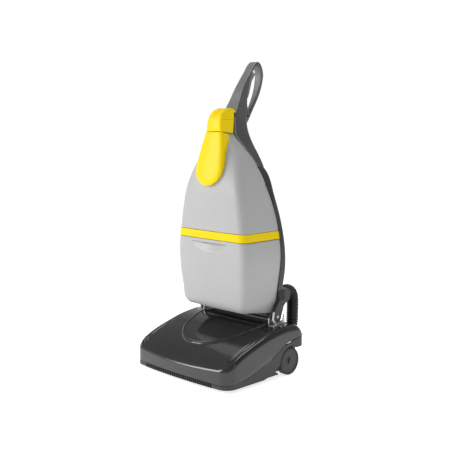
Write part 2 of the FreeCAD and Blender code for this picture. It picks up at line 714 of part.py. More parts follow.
def bin_cheek(side):
    """Low side wall under the bin, deeper to the rear."""
    base, half = size("shell_base"), STATIONS[0][1] * size("body_width") / 2
    outline = [(-40, base + 2), (-40, base), (60, base - 18), (60, base + 2)]
    low, high = sorted((side * (half - 3), side * half))
    return prism_x(outline, low, high)


def grip_pocket(grow):
    """The hand recess: flat top, round below, its floor sloping out to nothing at the bottom."""
    half, high, low = size("grip_half"), size("grip_top"), size("grip_low")
    drop = high - low
    r = (half * half + drop * drop) / (2 * drop)
    face_y = station_value(high, 3) - station_value(high, 5)
    deep = size("grip_deep") + grow
    round_ = Part.makeCylinder(r + grow, deep + 20, Vector(0, face_y - 20, low + r), Vector(0, 1, 0))
    slope = prism_x([(face_y - 40, low - 4), (face_y + grow, low - 4), (face_y + deep, high),
                     (face_y + deep, high + grow), (face_y - 40, high + grow)], -300, 300)
    return round_.common(slope)


def make_band():
    low, high = size("band_base"), size("band_top")
    ring = body_form(1).cut(body_form(-4)).common(slab(low, high - 0.5))
    ring = ring.cut(Part.makeBox(900, 300, 200, Vector(-450, station_value(high, 2) - 1, low - 50)))
    node(solid("band_form", ring), "yellow_band")


def make_upper_shell():
    low, high = size("band_top"), size("shell_crown") + 20
    shell = body_form(0).cut(body_form(-size("shell_wall"))).common(slab(low, high))
    z0, z1 = size("door_pivot_z") + 30, size("shell_crown") - 38
    door = Part.makeBox(64, 60, z1 - z0, Vector(-32, station_value(z0, 3) - 30, z0))
    node(solid("upper_shell_form", shell.cut(door)), "upper_shell")


def make_bin_lid():
    plate = body_form(-4.3).common(slab(size("band_base") + 0.5, size("band_base") + 4.5))
    mouth = Part.makeCylinder(45, 40, Vector(0, -10, size("band_base") - 10))
    node(solid("lid_form", plate.cut(mouth)), "bin_lid_plate")


# ---------------------------------------------------------------- rear frame
def frame_half(z):
    return half_at(z) + size("frame_proud")


def frame_section(z, back, inset, front_extra=0.0):
    w = frame_half(z) - inset
    front = station_value(z, 2) + size("part_gap") - front_extra
    r = 16 - inset
    k = math.sqrt(0.5)
    y = back - inset
    p = [Vector(w, front, z), Vector(w, y - r, z), Vector(w - r + r * k, y - r + r * k, z), Vector(w - r, y, z)]
    q = [Vector(-v.x, v.y, v.z) for v in p]
    return Part.Wire([
        Part.makeLine(p[0], p[1]), Part.Arc(p[1], p[2], p[3]).toShape(), Part.makeLine(p[3], q[3]),
        Part.Arc(q[3], q[2], q[1]).toShape(), Part.makeLine(q[1], q[0]), Part.makeLine(q[0], p[0]),
    ])


def frame_form(inset, extra):
    rings = [frame_section(z, back, inset, extra) for z, back in FRAME_BACK]
    return Part.makeLoft(rings, True, False)


def make_frame():
    wall = size("frame_wall")
    tray = frame_form(0, 0).cut(body_form(size("part_gap")))
    tray = tray.cut(frame_form(wall, 30).common(slab(size("leg_top") + 6, size("frame_top") - 6)))
    gland = Part.makeCylinder(size("gland_bore") + 2, 60, Vector(-size("gland_x"), 80, size("gland_z")), Vector(0, 1, 0))
    vent = [Part.makeBox(90, 60, 5, Vector(-45, 80, 405 + 11 * i)) for i in range(6)]
    node(solid("frame_shape", tray.cut([gland] + vent).fuse(hook_seat())), "rear_frame")


def back_at(z, x=0.0):
    """The rear frame's back face, measured on the frame itself."""
    line = Part.makeLine(Vector(x, -200, z), Vector(x, 400, z))
    return frame_form(0, 0).common(line).BoundBox.YMax


def back_over(low, high, x=0.0):
    return max(back_at(z, x) for z in (low, (low + high) / 2, high))


def hook_seat():
    """Round seat and pin on which the upper cable hook turns."""
    z = size("high_hook_z")
    y = back_over(z - 15, z + 15)
    seat = Part.makeCylinder(15, 7, Vector(0, y - 4, z), Vector(0, 1, 0))
    return seat.fuse(Part.makeCylinder(4, 14, Vector(0, y - 4, z), Vector(0, 1, 0)))


def housing_outline(inset):
    """Side outline of the block between the hinge and the rear frame."""
    y, z, top = size("hinge_y"), size("hinge_z"), size("leg_top")
    front = y + 14 - 6 * inset
    return [(front, z - 1 + 2 * inset), (y + 26 - 0.4 * inset, z + 3 + 2 * inset), (y + 40 - inset, z + 20 + inset),
            (y + 60 - 0.6 * inset, z + 38 + inset), (y + 86 - inset, z + 52 + inset),
            (y + 86 - inset, top - 12 - 0.4 * inset), (y + 74 - inset, top - inset), (front, top - inset)]


def make_lower_housing():
    """Pivot tube on the hinge line with the hollow block that carries the hose inlet."""
    y, z, wall = size("hinge_y"), size("hinge_z"), size("frame_wall")
    inlet_at = Vector(size("hose_x"), y + 14, size("hose_up_z"))
    back = Vector(0, 1, 0)
    tube = Part.makeCylinder(18.5, 300, Vector(-150, y, z), Vector(1, 0, 0))
    tube = tube.cut(Part.makeCylinder(14.5, 290, Vector(-145, y, z), Vector(1, 0, 0)))
    rear = Part.makeBox(800, 200, 800, Vector(-400, y + 49, 0))
    block = prism_x(housing_outline(0), -160, 160).fuse(prism_x(housing_outline(0), -171, 171).common(rear))
    block = block.cut(prism_x(housing_outline(wall), -160 + wall, 160 - wall))
    radius = size("hose_radius") + size("cuff_wall") + 3
    seat_at = Vector(size("hose_x"), inlet_y(), size("hose_up_z"))
    cup = Part.makeCylinder(radius + wall, y + 86 - inlet_y() + wall, seat_at - back * wall, back)
    pipe = Part.makeCylinder(size("hose_radius") - 2, inlet_y() - y - 14, inlet_at, back)
    form = tube.fuse([block, cup.common(prism_x(housing_outline(0), -171, 171)), pipe])
    form = form.cut(Part.makeCylinder(radius, 60, seat_at, back))
    form = form.cut(Part.makeCylinder(size("hose_radius") - 5, 90, inlet_at - back * 9, back))
    node(solid("housing_form", form), "lower_housing")


def make_back_fittings():
    y = back_over(398, 478)
    plate = Part.makeBox(110, 3, 80, Vector(-55, y, 398))
    slots = [Part.makeBox(90, 20, 5, Vector(-45, y - 8, 405 + 11 * i)) for i in range(6)]
    node(solid("grille_form", plate.cut(slots)), "exhaust_grille")
    z = size("hose_up_z")
    y = inlet_y()
    r = size("hose_radius")
    cuff = Part.makeCylinder(r + size("cuff_wall"), size("cuff_long"), Vector(size("hose_x"), y, z), Vector(0, 1, 0))
    hole = Part.makeCylinder(r, 99, Vector(size("hose_x"), y + 6, z), Vector(0, 1, 0))
    core = Part.makeCylinder(r - size("hose_wall") - 1, 99, Vector(size("hose_x"), y - 9, z), Vector(0, 1, 0))
    node(solid("upper_cuff_form", cuff.cut(hole).cut(core)), "hose_upper_cuff")


def inlet_y():
    """Floor of the recess in the lower housing, where the hose starts."""
    return size("hinge_y") + 66


def make_gland():
    z, x = size("gland_z"), -size("gland_x")
    at = Vector(x, back_over(z - size("gland_radius"), z + size("gland_radius"), x), z)
    body = Part.makeCylinder(size("gland_radius"), size("gland_long"), at, Vector(0, 1, 0))
    body = body.cut(Part.makeCylinder(size("gland_bore"), 99, at - Vector(0, 9, 0), Vector(0, 1, 0)))
    node(solid("gland_form", body), "cable_gland")


def hook(y, z, up):
    """A cable hook on the back: round boss, stem and a lip."""
    boss = Part.makeCylinder(13, 8, Vector(0, y, z), Vector(0, 1, 0))
    stem = Part.makeBox(16, 34, 9, Vector(-8, y + 2, z - 4.5))
    lip = Part.makeBox(30, 6, 44, Vector(-15, y + 34, z - 6 if up else z - 38))
    return boss.fuse([stem, lip]).removeSplitter()


def make_hooks():
    skin = frame_form(0, 0)
    low, high = size("low_hook_z"), size("high_hook_z")
    node(solid("hook_low_form", hook(back_over(low - 13, low + 13) - 3, low, False).cut(skin)), "cable_hook_lower")
    y = back_over(high - 15, high + 15)
    top = hook(y + 3 + size("part_gap"), high, True)
    top = top.cut(Part.makeCylinder(4 + size("run_fit"), 14, Vector(0, y - 3, high), Vector(0, 1, 0)))
    node(solid("hook_high_form", top), "cable_hook_upper")


# ---------------------------------------------------------------- neck, control head, handle
NECK = ((750, 122, 28.5, 64), (790, 97, 14.5, 64), (835, 64, 0.5, 65), (870, 44, -11, 66),
        (900, 35, -2, 66), (925, 31, 6, 70))


def neck_section(z, w, front, back, inset):
    w, front, back = w - inset, front + inset, back - inset
    r = min(14.0, 0.35 * (back - front))
    k = math.sqrt(0.5)
    p = [Vector(w, front, z), Vector(w, back - r, z), Vector(w - r + r * k, back - r + r * k, z),
         Vector(w - r, back, z)]
    q = [Vector(-v.x, v.y, v.z) for v in p]
    return Part.Wire([
        Part.makeLine(p[0], p[1]), Part.Arc(p[1], p[2], p[3]).toShape(), Part.makeLine(p[3], q[3]),
        Part.Arc(q[3], q[2], q[1]).toShape(), Part.makeLine(q[1], q[0]), Part.makeLine(q[0], p[0]),
    ])


def make_neck():
    outer = Part.makeLoft([neck_section(*level, 0) for level in NECK], True, False)
    inner = Part.makeLoft([neck_section(*level, 4) for level in NECK], True, False)
    hollow = inner.common(slab(size("frame_top") + 5, size("control_base")))
    base = size("handle_base")
    fin = prism_x([(50, base - 49), (62, base - 49), (79, base - 27), (92, base - 11), (100, base), (50, base)],
                  -10, 10)
    neck = outer.cut(hollow).cut(body_form(size("part_gap"))).fuse(fin.cut(hollow))
    node(solid("neck_form", neck), "neck_column")


def handle_outline():
    outer = [(-2, 925), (12, 961), (28, 990), (44, 1022), (65, 1055), (92, 1090), (120, 1123), (130, 1130),
             (142, 1127), (151, 1118), (162, 1100), (165, 1086), (164, 1059), (155, 1025), (140, 992),
             (123, 967), (100, 925)]
    inner = [(86, 932), (72, 955), (70, 972), (73, 991), (83, 1023), (97, 1063), (113, 1097),
             (128, 1112), (140, 1113), (149, 1104), (154, 1084), (146, 1042), (133, 1009), (104, 961)]
    return outer, inner


def lifted(points):
    """Handle points follow the handle's base and top heights."""
    base, top = size("handle_base"), size("handle_top")
    return [(y, base + (z - 925) * (top - base) / 205) for y, z in points]


def make_handle():
    outer, inner = handle_outline()
    w = size("control_half")
    loop = prism_x(lifted(outer), -w, w).cut(prism_x(lifted(inner), -w - 1, w + 1))
    half = size("grip_wide")
    front = [(31, 925), (29, 961), (21, 1022), (half, 1055), (half, 1131), (-half, 1131), (-half, 1055),
             (-21, 1022), (-29, 961), (-31, 925)]
    loop = loop.common(prism_y(lifted(front), -300, 300))
    bar = prism_x(lifted([(71, 924), (88, 960), (110, 1010), (128, 1066), (138, 1100), (230, 1100), (230, 924)]), -w, w)
    slim = prism_y(lifted([(10, 924), (11, 961), (14, 1022), (half, 1075), (half, 1131), (-half, 1131),
                           (-half, 1075), (-14, 1022), (-11, 961), (-10, 924)]), -300, 300)
    loop = loop.cut(bar.cut(slim))
    slot = [(66, 990), (96, 990), (120, 1050), (128, 1090), (108, 1101), (94, 1095), (86, 1070), (73, 1030)]
    w = size("trigger_half") + size("trigger_slot")
    y, z = trigger_pivot()
    pin = Part.makeCylinder(2.5, 2 * w, Vector(-w, y, z), Vector(1, 0, 0))
    loop = loop.cut(prism_x(lifted(slot), -w, w)).fuse(pin)
    node(solid("handle_form", loop), "handle_loop")


def trigger_pivot():
    return lifted([(104, 1085)])[0]


def make_trigger():
    w = size("trigger_half")
    y, z = trigger_pivot()
    outline = [(104, 1091), (118, 1093), (131, 1086), (112, 1057), (99, 1014), (92, 997), (81, 999),
               (87, 1022), (98, 1054), (98, 1085)]
    blade = prism_x(lifted(outline), -w, w)
    bore = Part.makeCylinder(2.55, 90, Vector(-45, y, z), Vector(1, 0, 0))
    node(solid("trigger_form", blade.cut(bore)), "trigger_lever")


def control_form(inset):
    low = size("control_low")
    profile = [(-81, low), (-81, 895), (-78, 915), (-70, 934), (-56, 949), (-36, 958), (-16, 960), (-6, 958),
               (0, 951), (1, 930), (-3, 900), (-8, 876), (-12, low)]
    shape = prism_x(profile, -size("control_half"), size("control_half"))
    crest = [e for e in shape.Edges if abs(e.BoundBox.XLength) < 1 and e.CenterOfMass.y < -8
             and (e.CenterOfMass.z > 900 or e.CenterOfMass.y < -60) and abs(e.CenterOfMass.x) > 1]
    return shape.makeFillet(9 - inset, crest).cut(door_sweep(1.5))


def door_sweep(gap):
    """The round space that the cover door's top edge passes through."""
    at = Vector(-200, -size("door_pivot_y"), size("door_pivot_z"))
    return Part.makeCylinder(size("door_reach") + gap, 400, at, Vector(1, 0, 0))


def make_control_head():
    form = control_form(0)
    neck = Part.makeLoft([neck_section(*level, -size("part_gap")) for level in NECK], True, False)
    outer, _ = handle_outline()
    column = prism_x(lifted(outer), -60, 60)
    base = size("button_base")
    lower = form.common(slab(800, base - 0.4)).cut(neck).cut(body_form(size("part_gap")))
    node(solid("control_base_form", max(lower.Solids, key=lambda s: s.Volume)), "control_head")
    room = Vector(0, -size("button_travel") - 0.6, 0)
    upper = form.common(slab(base + 0.4, 1000)).cut([neck, neck.translated(room), column.translated(room)])
    right = upper.common(Part.makeBox(90, 400, 400, Vector(0.5, -200, 800)))
    node(solid("button_right_form", right), "switch_right")
    left = upper.common(Part.makeBox(90, 400, 400, Vector(-90.5, -200, 800)))
    node(solid("button_left_form", left), "switch_left")


def door_outline(shrink, lift):
    """The drop shape on a plane leaning back with the shell, raised by lift."""
    half = size("door_half") - shrink
    top_half = size("door_head_half") - shrink
    lean = math.radians(size("door_lean"))
    length = (size("door_reach") + size("door_tip")) / math.cos(lean)
    start = size("door_half") * 0.98
    low = shrink

    def at(u, v):
        y = -size("door_pivot_y") + 10 + v * math.sin(lean) - lift * math.cos(lean)
        z = size("door_pivot_z") - size("door_tip") + v * math.cos(lean) - lift * math.sin(lean)
        return Vector(u, y, z)

    k = math.sin(math.radians(52))
    tip = start - half
    arc = Part.Arc(at(-half, start), at(0, min(tip, low)), at(half, start)).toShape()
    rim = Part.Arc(at(half, start), at((half + top_half) / 2 + 3, (start + length) / 2), at(top_half, length - shrink * 0.2)).toShape()
    rim_left = Part.Arc(at(-top_half, length - shrink * 0.2), at(-(half + top_half) / 2 - 3, (start + length) / 2), at(-half, start)).toShape()
    head = Part.makeLine(at(top_half, length - shrink * 0.2), at(-top_half, length - shrink * 0.2))
    return Part.Wire([arc, rim, head, rim_left])


def make_door():
    rise = size("door_rise")
    rings = [door_outline(0, -45), door_outline(0, rise - 14), door_outline(6, rise - 4), door_outline(20, rise)]
    form = Part.makeLoft(rings, True, True)
    form = form.cut(body_form(size("door_gap")))
    form = form.common(door_sweep(0))
    y, z = -size("door_pivot_y"), size("door_pivot_z")
    tip = Part.makeCylinder(size("door_tip"), 500, Vector(-250, y, z), Vector(1, 0, 0))
    form = form.common(slab(z, 1000)).fuse(form.common(tip))
    solids = sorted(form.Solids, key=lambda s: -s.Volume)
    node(solid("door_form", solids[0]), "cover_door")


# ---------------------------------------------------------------- suction unit
def make_suction_unit():
    z, r, tall = "fan_case_z", "fan_case_radius", "fan_case_tall"
    can = rod("fan_can", ("0", "-10", z), r, tall, "z")
    room = rod("fan_room", ("0", "-10", f"{z} + 3"), f"{r} - 3", f"{tall} - 6", "z")
    eye = rod("fan_eye", ("0", "-10", f"{z} - 1"), "20", "6", "z")
    top = rod("fan_top_bore", ("0", "-10", z), "journal_radius + run_fit", f"{tall} + 2", "z")
    node(cut("fan_case_piece", can, room, eye, top), "fan_housing")
    disc = rod("fan_disc", ("0", "-10", f"{z} + 5"), "fan_radius", "fan_thick", "z")
    shaft = rod("fan_shaft", ("0", "-10", f"{z} + 5"), "journal_radius", f"{tall} + 30", "z")
    node(join("fan_piece", disc, shaft), "fan_impeller")
    case = rod("suction_can", ("0", "-10", f"{z} + {tall} + 0.5"), "suction_motor_radius", "suction_motor_tall", "z")
    bore = rod("suction_bore", ("0", "-10", f"{z} + {tall}"), "journal_radius + run_fit", "40", "z")
    node(cut("suction_motor_piece", case, bore), "suction_motor")


def make_filter():
    z = "band_base + 5"
    frame = box("filter_frame_block", "-92", "-72", z, "184", "124", "32")
    core = box("filter_core_room", "-84", "-64", f"{z} - 1", "168", "108", "40")
    pleats = box("filter_core_block", "-84", "-64", z, "168", "108", "26")
    node(join("filter_piece", cut("filter_frame_piece", frame, core), pleats), "filter_cassette")


# ---------------------------------------------------------------- hose
def hose_route():
    """Straight runs joined by tangent arcs: out of the body, back, down and into the head."""
    x = size("hose_x")
    up, low, back = size("hose_up_z"), size("hose_low_z"), size("hose_back")
    y0 = inlet_y() + 6
    y1 = size("head_rear") - size("hood_wall") + 5
    r_up = (up - low) * 0.36
    r_low = (back - y1) * 0.80
    k = math.sqrt(0.5)
    edges = [Part.makeLine(Vector(x, y0, up), Vector(x, back - r_up, up))]
    edges.append(Part.Arc(Vector(x, back - r_up, up), Vector(x, back - r_up + r_up * k, up - r_up + r_up * k),
                          Vector(x, back, up - r_up)).toShape())
    edges.append(Part.makeLine(Vector(x, back, up - r_up), Vector(x, back, low + r_low)))
    edges.append(Part.Arc(Vector(x, back, low + r_low), Vector(x, back - r_low + r_low * k, low + r_low - r_low * k),
                          Vector(x, back - r_low, low)).toShape())
    edges.append(Part.makeLine(Vector(x, back - r_low, low), Vector(x, y1, low)))
    return Part.Wire(edges)


def make_hose():
    route = hose_route()
    x, y, z = route.Vertexes[0].Point

    def tube(radius):
        ring = Part.Wire(Part.makeCircle(radius, Vector(x, y, z), Vector(0, 1, 0)))
        return route.makePipeShell([ring], True, False)

    outer = tube(size("hose_radius") - 0.2)
    inner = tube(size("hose_radius") - size("hose_wall"))
    want = math.pi * (size("hose_radius") - 0.2) ** 2 * route.Length
    print(f"hose volume {outer.Volume:.0f}, section times length {want:.0f}")
    node(solid("hose_form", outer.cut(inner)), "suction_hose")


# ---------------------------------------------------------------- release pedal
def make_pedal():
    ear = box("pedal_ear", "-122", "wheel_y - 6", "plate_bottom + plate_thick", "6", "28", "28")
    ear_b = box("pedal_ear_b", "-84", "wheel_y - 6", "plate_bottom + plate_thick", "6", "28", "28")
    pin = rod("pedal_pin", ("-122", "wheel_y + 12", "38"), "3", "44")
    node(join("pedal_bracket_piece", ear, ear_b, pin), "pedal_bracket")
    arm = pad("pedal", "YZ_Plane", [("wheel_y + 4", "32"), ("wheel_y + 20", "31"), ("head_rear + 4", "44"),
                                    ("head_rear + 40", "48"), ("head_rear + 40", "54"),
                                    ("head_rear + 2", "51"), ("wheel_y + 14", "44"), ("wheel_y + 4", "43")],
              "31", "-115.5")
    doc.recompute()
    bore = rod("pedal_bore", ("-130", "wheel_y + 12", "38"), "3 + run_fit", "60")
    node(cut("pedal_piece", arm, bore), "release_pedal")


def build():
    make_hood()
    make_island()
    make_skirt()
    make_base_plate()
    make_front_comb()
    make_glides()
    make_wheels()
    make_axles()
    make_brush()
    make_brush_ends()
    make_tunnel()
    make_drive()
    make_belt()
    make_head_duct()
    make_lower_cuff()
    make_brackets()
    make_tie_bar()
    make_pedal()
    make_legs()
    make_frame()
    make_lower_housing()
    make_back_fittings()
    make_gland()
    make_hooks()
    make_bin()
    make_bin_lid()
    make_band()
    make_upper_shell()
    make_neck()
    make_handle()
    make_trigger()
    make_control_head()
    make_door()
    make_suction_unit()
    make_filter()
    make_hose()


def check():
    doc.recompute()
    bad = [o.Label for o in doc.Objects if {"Invalid", "Error"} & set(o.State)]
    bad += [o.Label for o in nodes if o.Shape.isNull() or not o.Shape.isValid()]
    if bad:
        raise RuntimeError(f"failed: {bad}")


def write():
    os.makedirs("parts", exist_ok=True)
    for obj in nodes:
        obj.Shape.exportStep(f"parts/{obj.Label}.step")
    print(len(nodes), "nodes")


build()
check()
write()
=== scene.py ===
import bmesh
import bpy
import json
import math
import numpy as np
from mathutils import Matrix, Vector


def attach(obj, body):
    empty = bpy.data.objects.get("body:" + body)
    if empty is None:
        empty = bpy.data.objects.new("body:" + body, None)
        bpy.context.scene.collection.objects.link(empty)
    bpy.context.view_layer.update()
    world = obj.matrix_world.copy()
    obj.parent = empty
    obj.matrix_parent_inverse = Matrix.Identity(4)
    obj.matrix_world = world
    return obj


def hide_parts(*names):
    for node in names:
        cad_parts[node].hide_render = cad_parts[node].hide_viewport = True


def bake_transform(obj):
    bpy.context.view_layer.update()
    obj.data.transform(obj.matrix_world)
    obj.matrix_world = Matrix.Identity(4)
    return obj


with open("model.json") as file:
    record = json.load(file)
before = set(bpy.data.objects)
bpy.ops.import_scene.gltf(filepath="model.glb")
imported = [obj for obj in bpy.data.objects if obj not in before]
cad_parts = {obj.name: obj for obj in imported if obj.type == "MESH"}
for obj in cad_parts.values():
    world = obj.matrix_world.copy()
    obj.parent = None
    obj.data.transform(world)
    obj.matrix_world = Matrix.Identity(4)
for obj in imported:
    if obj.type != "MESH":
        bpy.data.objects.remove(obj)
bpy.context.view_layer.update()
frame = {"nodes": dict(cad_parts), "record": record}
NODES = frame["nodes"]


# ---------------------------------------------------------------- materials
def tree_of(name):
    m = bpy.data.materials.new(name)
    m.use_nodes = True
    t = m.node_tree
    return m, t, t.nodes["Principled BSDF"]


def link(t, a, out, b, into):
    t.links.new(a.outputs[out], b.inputs[into])


def noise_of(t, where, out, scale, detail):
    noise = t.nodes.new("ShaderNodeTexNoise")
    noise.inputs["Scale"].default_value = scale
    noise.inputs["Detail"].default_value = detail
    link(t, where, out, noise, "Vector")
    return noise


def ramp_of(t, low, high, start=0.0, end=1.0):
    ramp = t.nodes.new("ShaderNodeValToRGB")
    for stop, colour, at in zip(ramp.color_ramp.elements, (low, high), (start, end)):
        stop.position = at
        stop.color = (*colour, 1)
    return ramp


def roughness_of(t, shader, noise, low, high):
    spread = t.nodes.new("ShaderNodeMapRange")
    spread.inputs["To Min"].default_value = low
    spread.inputs["To Max"].default_value = high
    link(t, noise, "Fac", spread, "Value")
    link(t, spread, "Result", shader, "Roughness")


def bump_of(t, shader, noise, strength, distance):
    bump = t.nodes.new("ShaderNodeBump")
    bump.inputs["Strength"].default_value = strength
    bump.inputs["Distance"].default_value = distance
    link(t, noise, "Fac", bump, "Height")
    link(t, bump, "Normal", shader, "Normal")


def grey(level):
    return (level, level, level)


def plastic(name, colour, rough, grain=0.0, scale=900.0, mottle=0.06, gloss=0.0, shine=0.5):
    """Moulded plastic: slight colour mottle, uneven sheen, fine surface grain and a clear upper skin."""
    m, t, shader = tree_of(name)
    where = t.nodes.new("ShaderNodeTexCoord")
    big = noise_of(t, where, "Object", 7.0, 5.0)
    low = [c * (1 - mottle) for c in colour]
    high = [min(1.0, c * (1 + mottle)) for c in colour]
    ramp = ramp_of(t, low, high, 0.3, 0.7)
    link(t, big, "Fac", ramp, "Fac")
    link(t, ramp, "Color", shader, "Base Color")
    roughness_of(t, shader, big, max(0.02, rough - 0.04), rough + 0.05)
    bump_of(t, shader, noise_of(t, where, "Object", scale, 3.0), grain, 0.0004)
    shader.inputs["Specular IOR Level"].default_value = shine
    shader.inputs["Coat Weight"].default_value = gloss
    shader.inputs["Coat Roughness"].default_value = 0.08
    return m


def metal(name, colour, rough):
    """Brushed or plated metal: streaks along one way, with uneven roughness."""
    wear = 0.12
    m, t, shader = tree_of(name)
    where = t.nodes.new("ShaderNodeTexCoord")
    stretch = t.nodes.new("ShaderNodeMapping")
    stretch.inputs["Scale"].default_value = (4.0, 4.0, 400.0)
    link(t, where, "Object", stretch, "Vector")
    streak = noise_of(t, stretch, "Vector", 6.0, 6.0)
    ramp = ramp_of(t, [c * 0.8 for c in colour], colour)
    link(t, streak, "Fac", ramp, "Fac")
    link(t, ramp, "Color", shader, "Base Color")
    roughness_of(t, shader, streak, max(0.03, rough - wear), rough + wear)
    bump_of(t, shader, streak, 0.15, 0.0002)
    shader.inputs["Metallic"].default_value = 1.0
    return m


SHELL = plastic("shell_grey_plastic", grey(0.37), 0.42, grain=0.10, mottle=0.03, gloss=0.1)
YELLOW = plastic("yellow_plastic", (0.76, 0.56, 0.0), 0.42, grain=0.05, mottle=0.02, gloss=0.08, shine=0.12)
FRAME = plastic("frame_dark_plastic", grey(0.022), 0.45, grain=0.25, mottle=0.12)
HANDLE = plastic("handle_grey_plastic", grey(0.125), 0.45, grain=0.8, scale=420.0, mottle=0.10)
# painted shade: a darker, smoother copy of the handle plastic for the side faces
HANDLE_SIDE_SHADE = plastic("handle_side_painted_shade", grey(0.066), 0.34, grain=0.3, mottle=0.2)
# painted shade: a darker, matt copy of the hood plastic for its top under the bin
WELL_SHADE = plastic("hood_well_painted_shade", grey(0.010), 0.75, grain=0.3, mottle=0.1, shine=0.12)
# painted shade: near black with no sheen, for the comb's slots and the rail under the head
SLOT_SHADE = plastic("comb_slot_painted_shade", grey(0.003), 0.9, grain=0.05, mottle=0.1, shine=0.0)
# painted highlight: a lighter grey for the beads along the neck's and handle's front edges
BEAD_HIGHLIGHT = plastic("handle_bead_painted_highlight", grey(0.30), 0.25, grain=0.05, mottle=0.08)
BLACK = plastic("black_plastic", grey(0.012), 0.45, grain=0.2, mottle=0.2)
HOOD = plastic("hood_gloss_plastic", grey(0.024), 0.12, grain=0.02, mottle=0.08, gloss=0.22,
               shine=0.4)
SKIRT = plastic("skirt_dark_plastic", grey(0.034), 0.42, grain=0.2, mottle=0.1, shine=0.35)
TYRE = plastic("tyre_rubber", grey(0.02), 0.65, grain=0.4, scale=500.0, mottle=0.3)
HOSE = plastic("hose_rubber", grey(0.009), 0.42, grain=0.2, mottle=0.3)
ZINC = metal("zinc_steel", grey(0.50), 0.34)
DULL = metal("dull_steel", grey(0.30), 0.50)
TRIGGER = plastic("trigger_grey_plastic", grey(0.16), 0.3, grain=0.1, mottle=0.1, gloss=0.3)
BASE = plastic("base_paint", grey(0.02), 0.4, grain=0.5, scale=260.0, mottle=0.2)
CAST = metal("motor_cast", (0.55, 0.55, 0.56), 0.5)
FILTER = plastic("filter_cloth", (0.72, 0.71, 0.64), 0.9, grain=1.0, scale=700.0, mottle=0.1)
BY_SLOT = {
    "shell_grey": SHELL, "yellow_plastic": YELLOW, "frame_dark": FRAME, "handle_grey": HANDLE,
    "black_plastic": BLACK, "hood_gloss": HOOD, "skirt_dark": SKIRT, "tyre_rubber": TYRE,
    "hose_rubber": HOSE, "zinc_steel": ZINC, "base_steel": BASE, "motor_metal": CAST,
    "filter_cloth": FILTER,
}


def dress(node, material):
    node.data.materials.clear()
    node.data.materials.append(material)


for part in frame["record"]["subparts"]:
    dress(NODES[part["node"]], BY_SLOT[part["material_slot"]])
for name in ("wheel_axle_right", "wheel_axle_left"):
    dress(NODES[name], BLACK)
dress(NODES["trigger_lever"], TRIGGER)
dress(NODES["tie_bar"], DULL)


# ---------------------------------------------------------------- mesh helpers
def smooth(x, xs, ys):
    """A smooth curve through (xs, ys), read at x."""
    xs, ys = np.asarray(xs, float), np.asarray(ys, float)
    x = np.clip(np.asarray(x, float), xs[0], xs[-1])
    slope = np.gradient(ys, xs)
    i = np.clip(np.searchsorted(xs, x) - 1, 0, len(xs) - 2)
    h = xs[i + 1] - xs[i]
    t = (x - xs[i]) / h
    return ((1 + 2 * t) * (1 - t) ** 2 * ys[i] + t * (1 - t) ** 2 * h * slope[i]
            + t * t * (3 - 2 * t) * ys[i + 1] + t * t * (t - 1) * h * slope[i + 1])


def piece(name, verts, faces, material, body, sharp=35, weld=1e-5):
    """A mesh with smooth faces and sharp edges above an angle, riding on a body if one is named."""
    mesh = bpy.data.meshes.new(name)
    mesh.from_pydata([tuple(float(c) for c in v) for v in verts], [], faces)
    edit = bmesh.new()
    edit.from_mesh(mesh)
    bmesh.ops.remove_doubles(edit, verts=edit.verts, dist=weld)
    bmesh.ops.recalc_face_normals(edit, faces=edit.faces)
    edit.to_mesh(mesh)
    edit.free()
    mesh.polygons.foreach_set("use_smooth", [True] * len(mesh.polygons))
    mesh.set_sharp_from_angle(angle=math.radians(sharp))
    mesh.materials.append(material)
    obj = bpy.data.objects.new(name, mesh)
    bpy.context.scene.collection.objects.link(obj)
    if body:
        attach(obj, body)
    return obj


def strips(rings, closed=True, wrap=False):
    """Quads between rings of the same length. wrap joins the last ring to the first."""
    n = len(rings[0])
    faces = []
    count = len(rings) if wrap else len(rings) - 1
    for k in range(count):
        a, b = k * n, ((k + 1) % len(rings)) * n
        for i in range(n if closed else n - 1):
            j = (i + 1) % n
            faces.append((a + i, a + j, b + j, b + i))
    return faces


def loft(name, rings, material, body, low=True, high=True, **more):
    verts = [v for ring in rings for v in ring]
    faces = strips(rings)
    n = len(rings[0])
    if low:
        faces.append(tuple(range(n)))
    if high:
        faces.append(tuple(range(len(verts) - n, len(verts))))
    return piece(name, verts, faces, material, body, **more)


def lathe(name, profile, centre, material, body, turns=72, **more):
    """A profile of (x, radius), turned round a line along x."""
    rings = []
    for i in range(turns):
        a = 2 * math.pi * i / turns
        rings.append([(x, centre[0] + r * math.cos(a), centre[1] + r * math.sin(a)) for x, r in profile])
    verts = [v for ring in rings for v in ring]
    return piece(name, verts, strips(rings, False, True), material, body, **more)


def quads(faces, base, columns, rows):
    """Adds the faces of a grid of points that starts at base, with so many steps each way."""
    for i in range(rows):
        for c in range(columns):
            a = base + i * (columns + 1) + c
            faces.append((a, a + 1, a + columns + 2, a + columns + 1))


def thicken(obj, depth):
    wall = obj.modifiers.new("wall", "SOLIDIFY")
    wall.thickness = depth
    wall.offset = -1


# ---------------------------------------------------------------- body shells
SHARE = (0.0, 0.022, 0.11, 0.19, 0.30, 0.44, 0.565, 0.685, 0.775, 0.858, 0.934, 1.0)
HALF = (0.1575, 0.1647, 0.1715, 0.176, 0.180, 0.1719, 0.160, 0.1449, 0.126, 0.0999, 0.0621, 0.0306)
BACK = (0.064, 0.068, 0.075, 0.081, 0.085, 0.082, 0.071, 0.049, 0.034, 0.018, 0.002, -0.014)
FRONT = (-0.078, -0.086, -0.093, -0.099, -0.102, -0.102, -0.100, -0.095, -0.084, -0.068, -0.061, -0.061)
ROUND = (0.034, 0.034, 0.032, 0.032, 0.032, 0.032, 0.032, 0.032, 0.034, 0.034, 0.026, 0.018)
BOW = (0.003, 0.003, 0.003, 0.003, 0.003, 0.003, 0.005, 0.010, 0.017, 0.024, 0.020, 0.010)
SHELL_LOW, SHELL_HIGH = 0.232, 0.872
GRIP_TOP, GRIP_LOW, GRIP_HALF, GRIP_DEEP = 0.478, 0.439, 0.100, 0.016


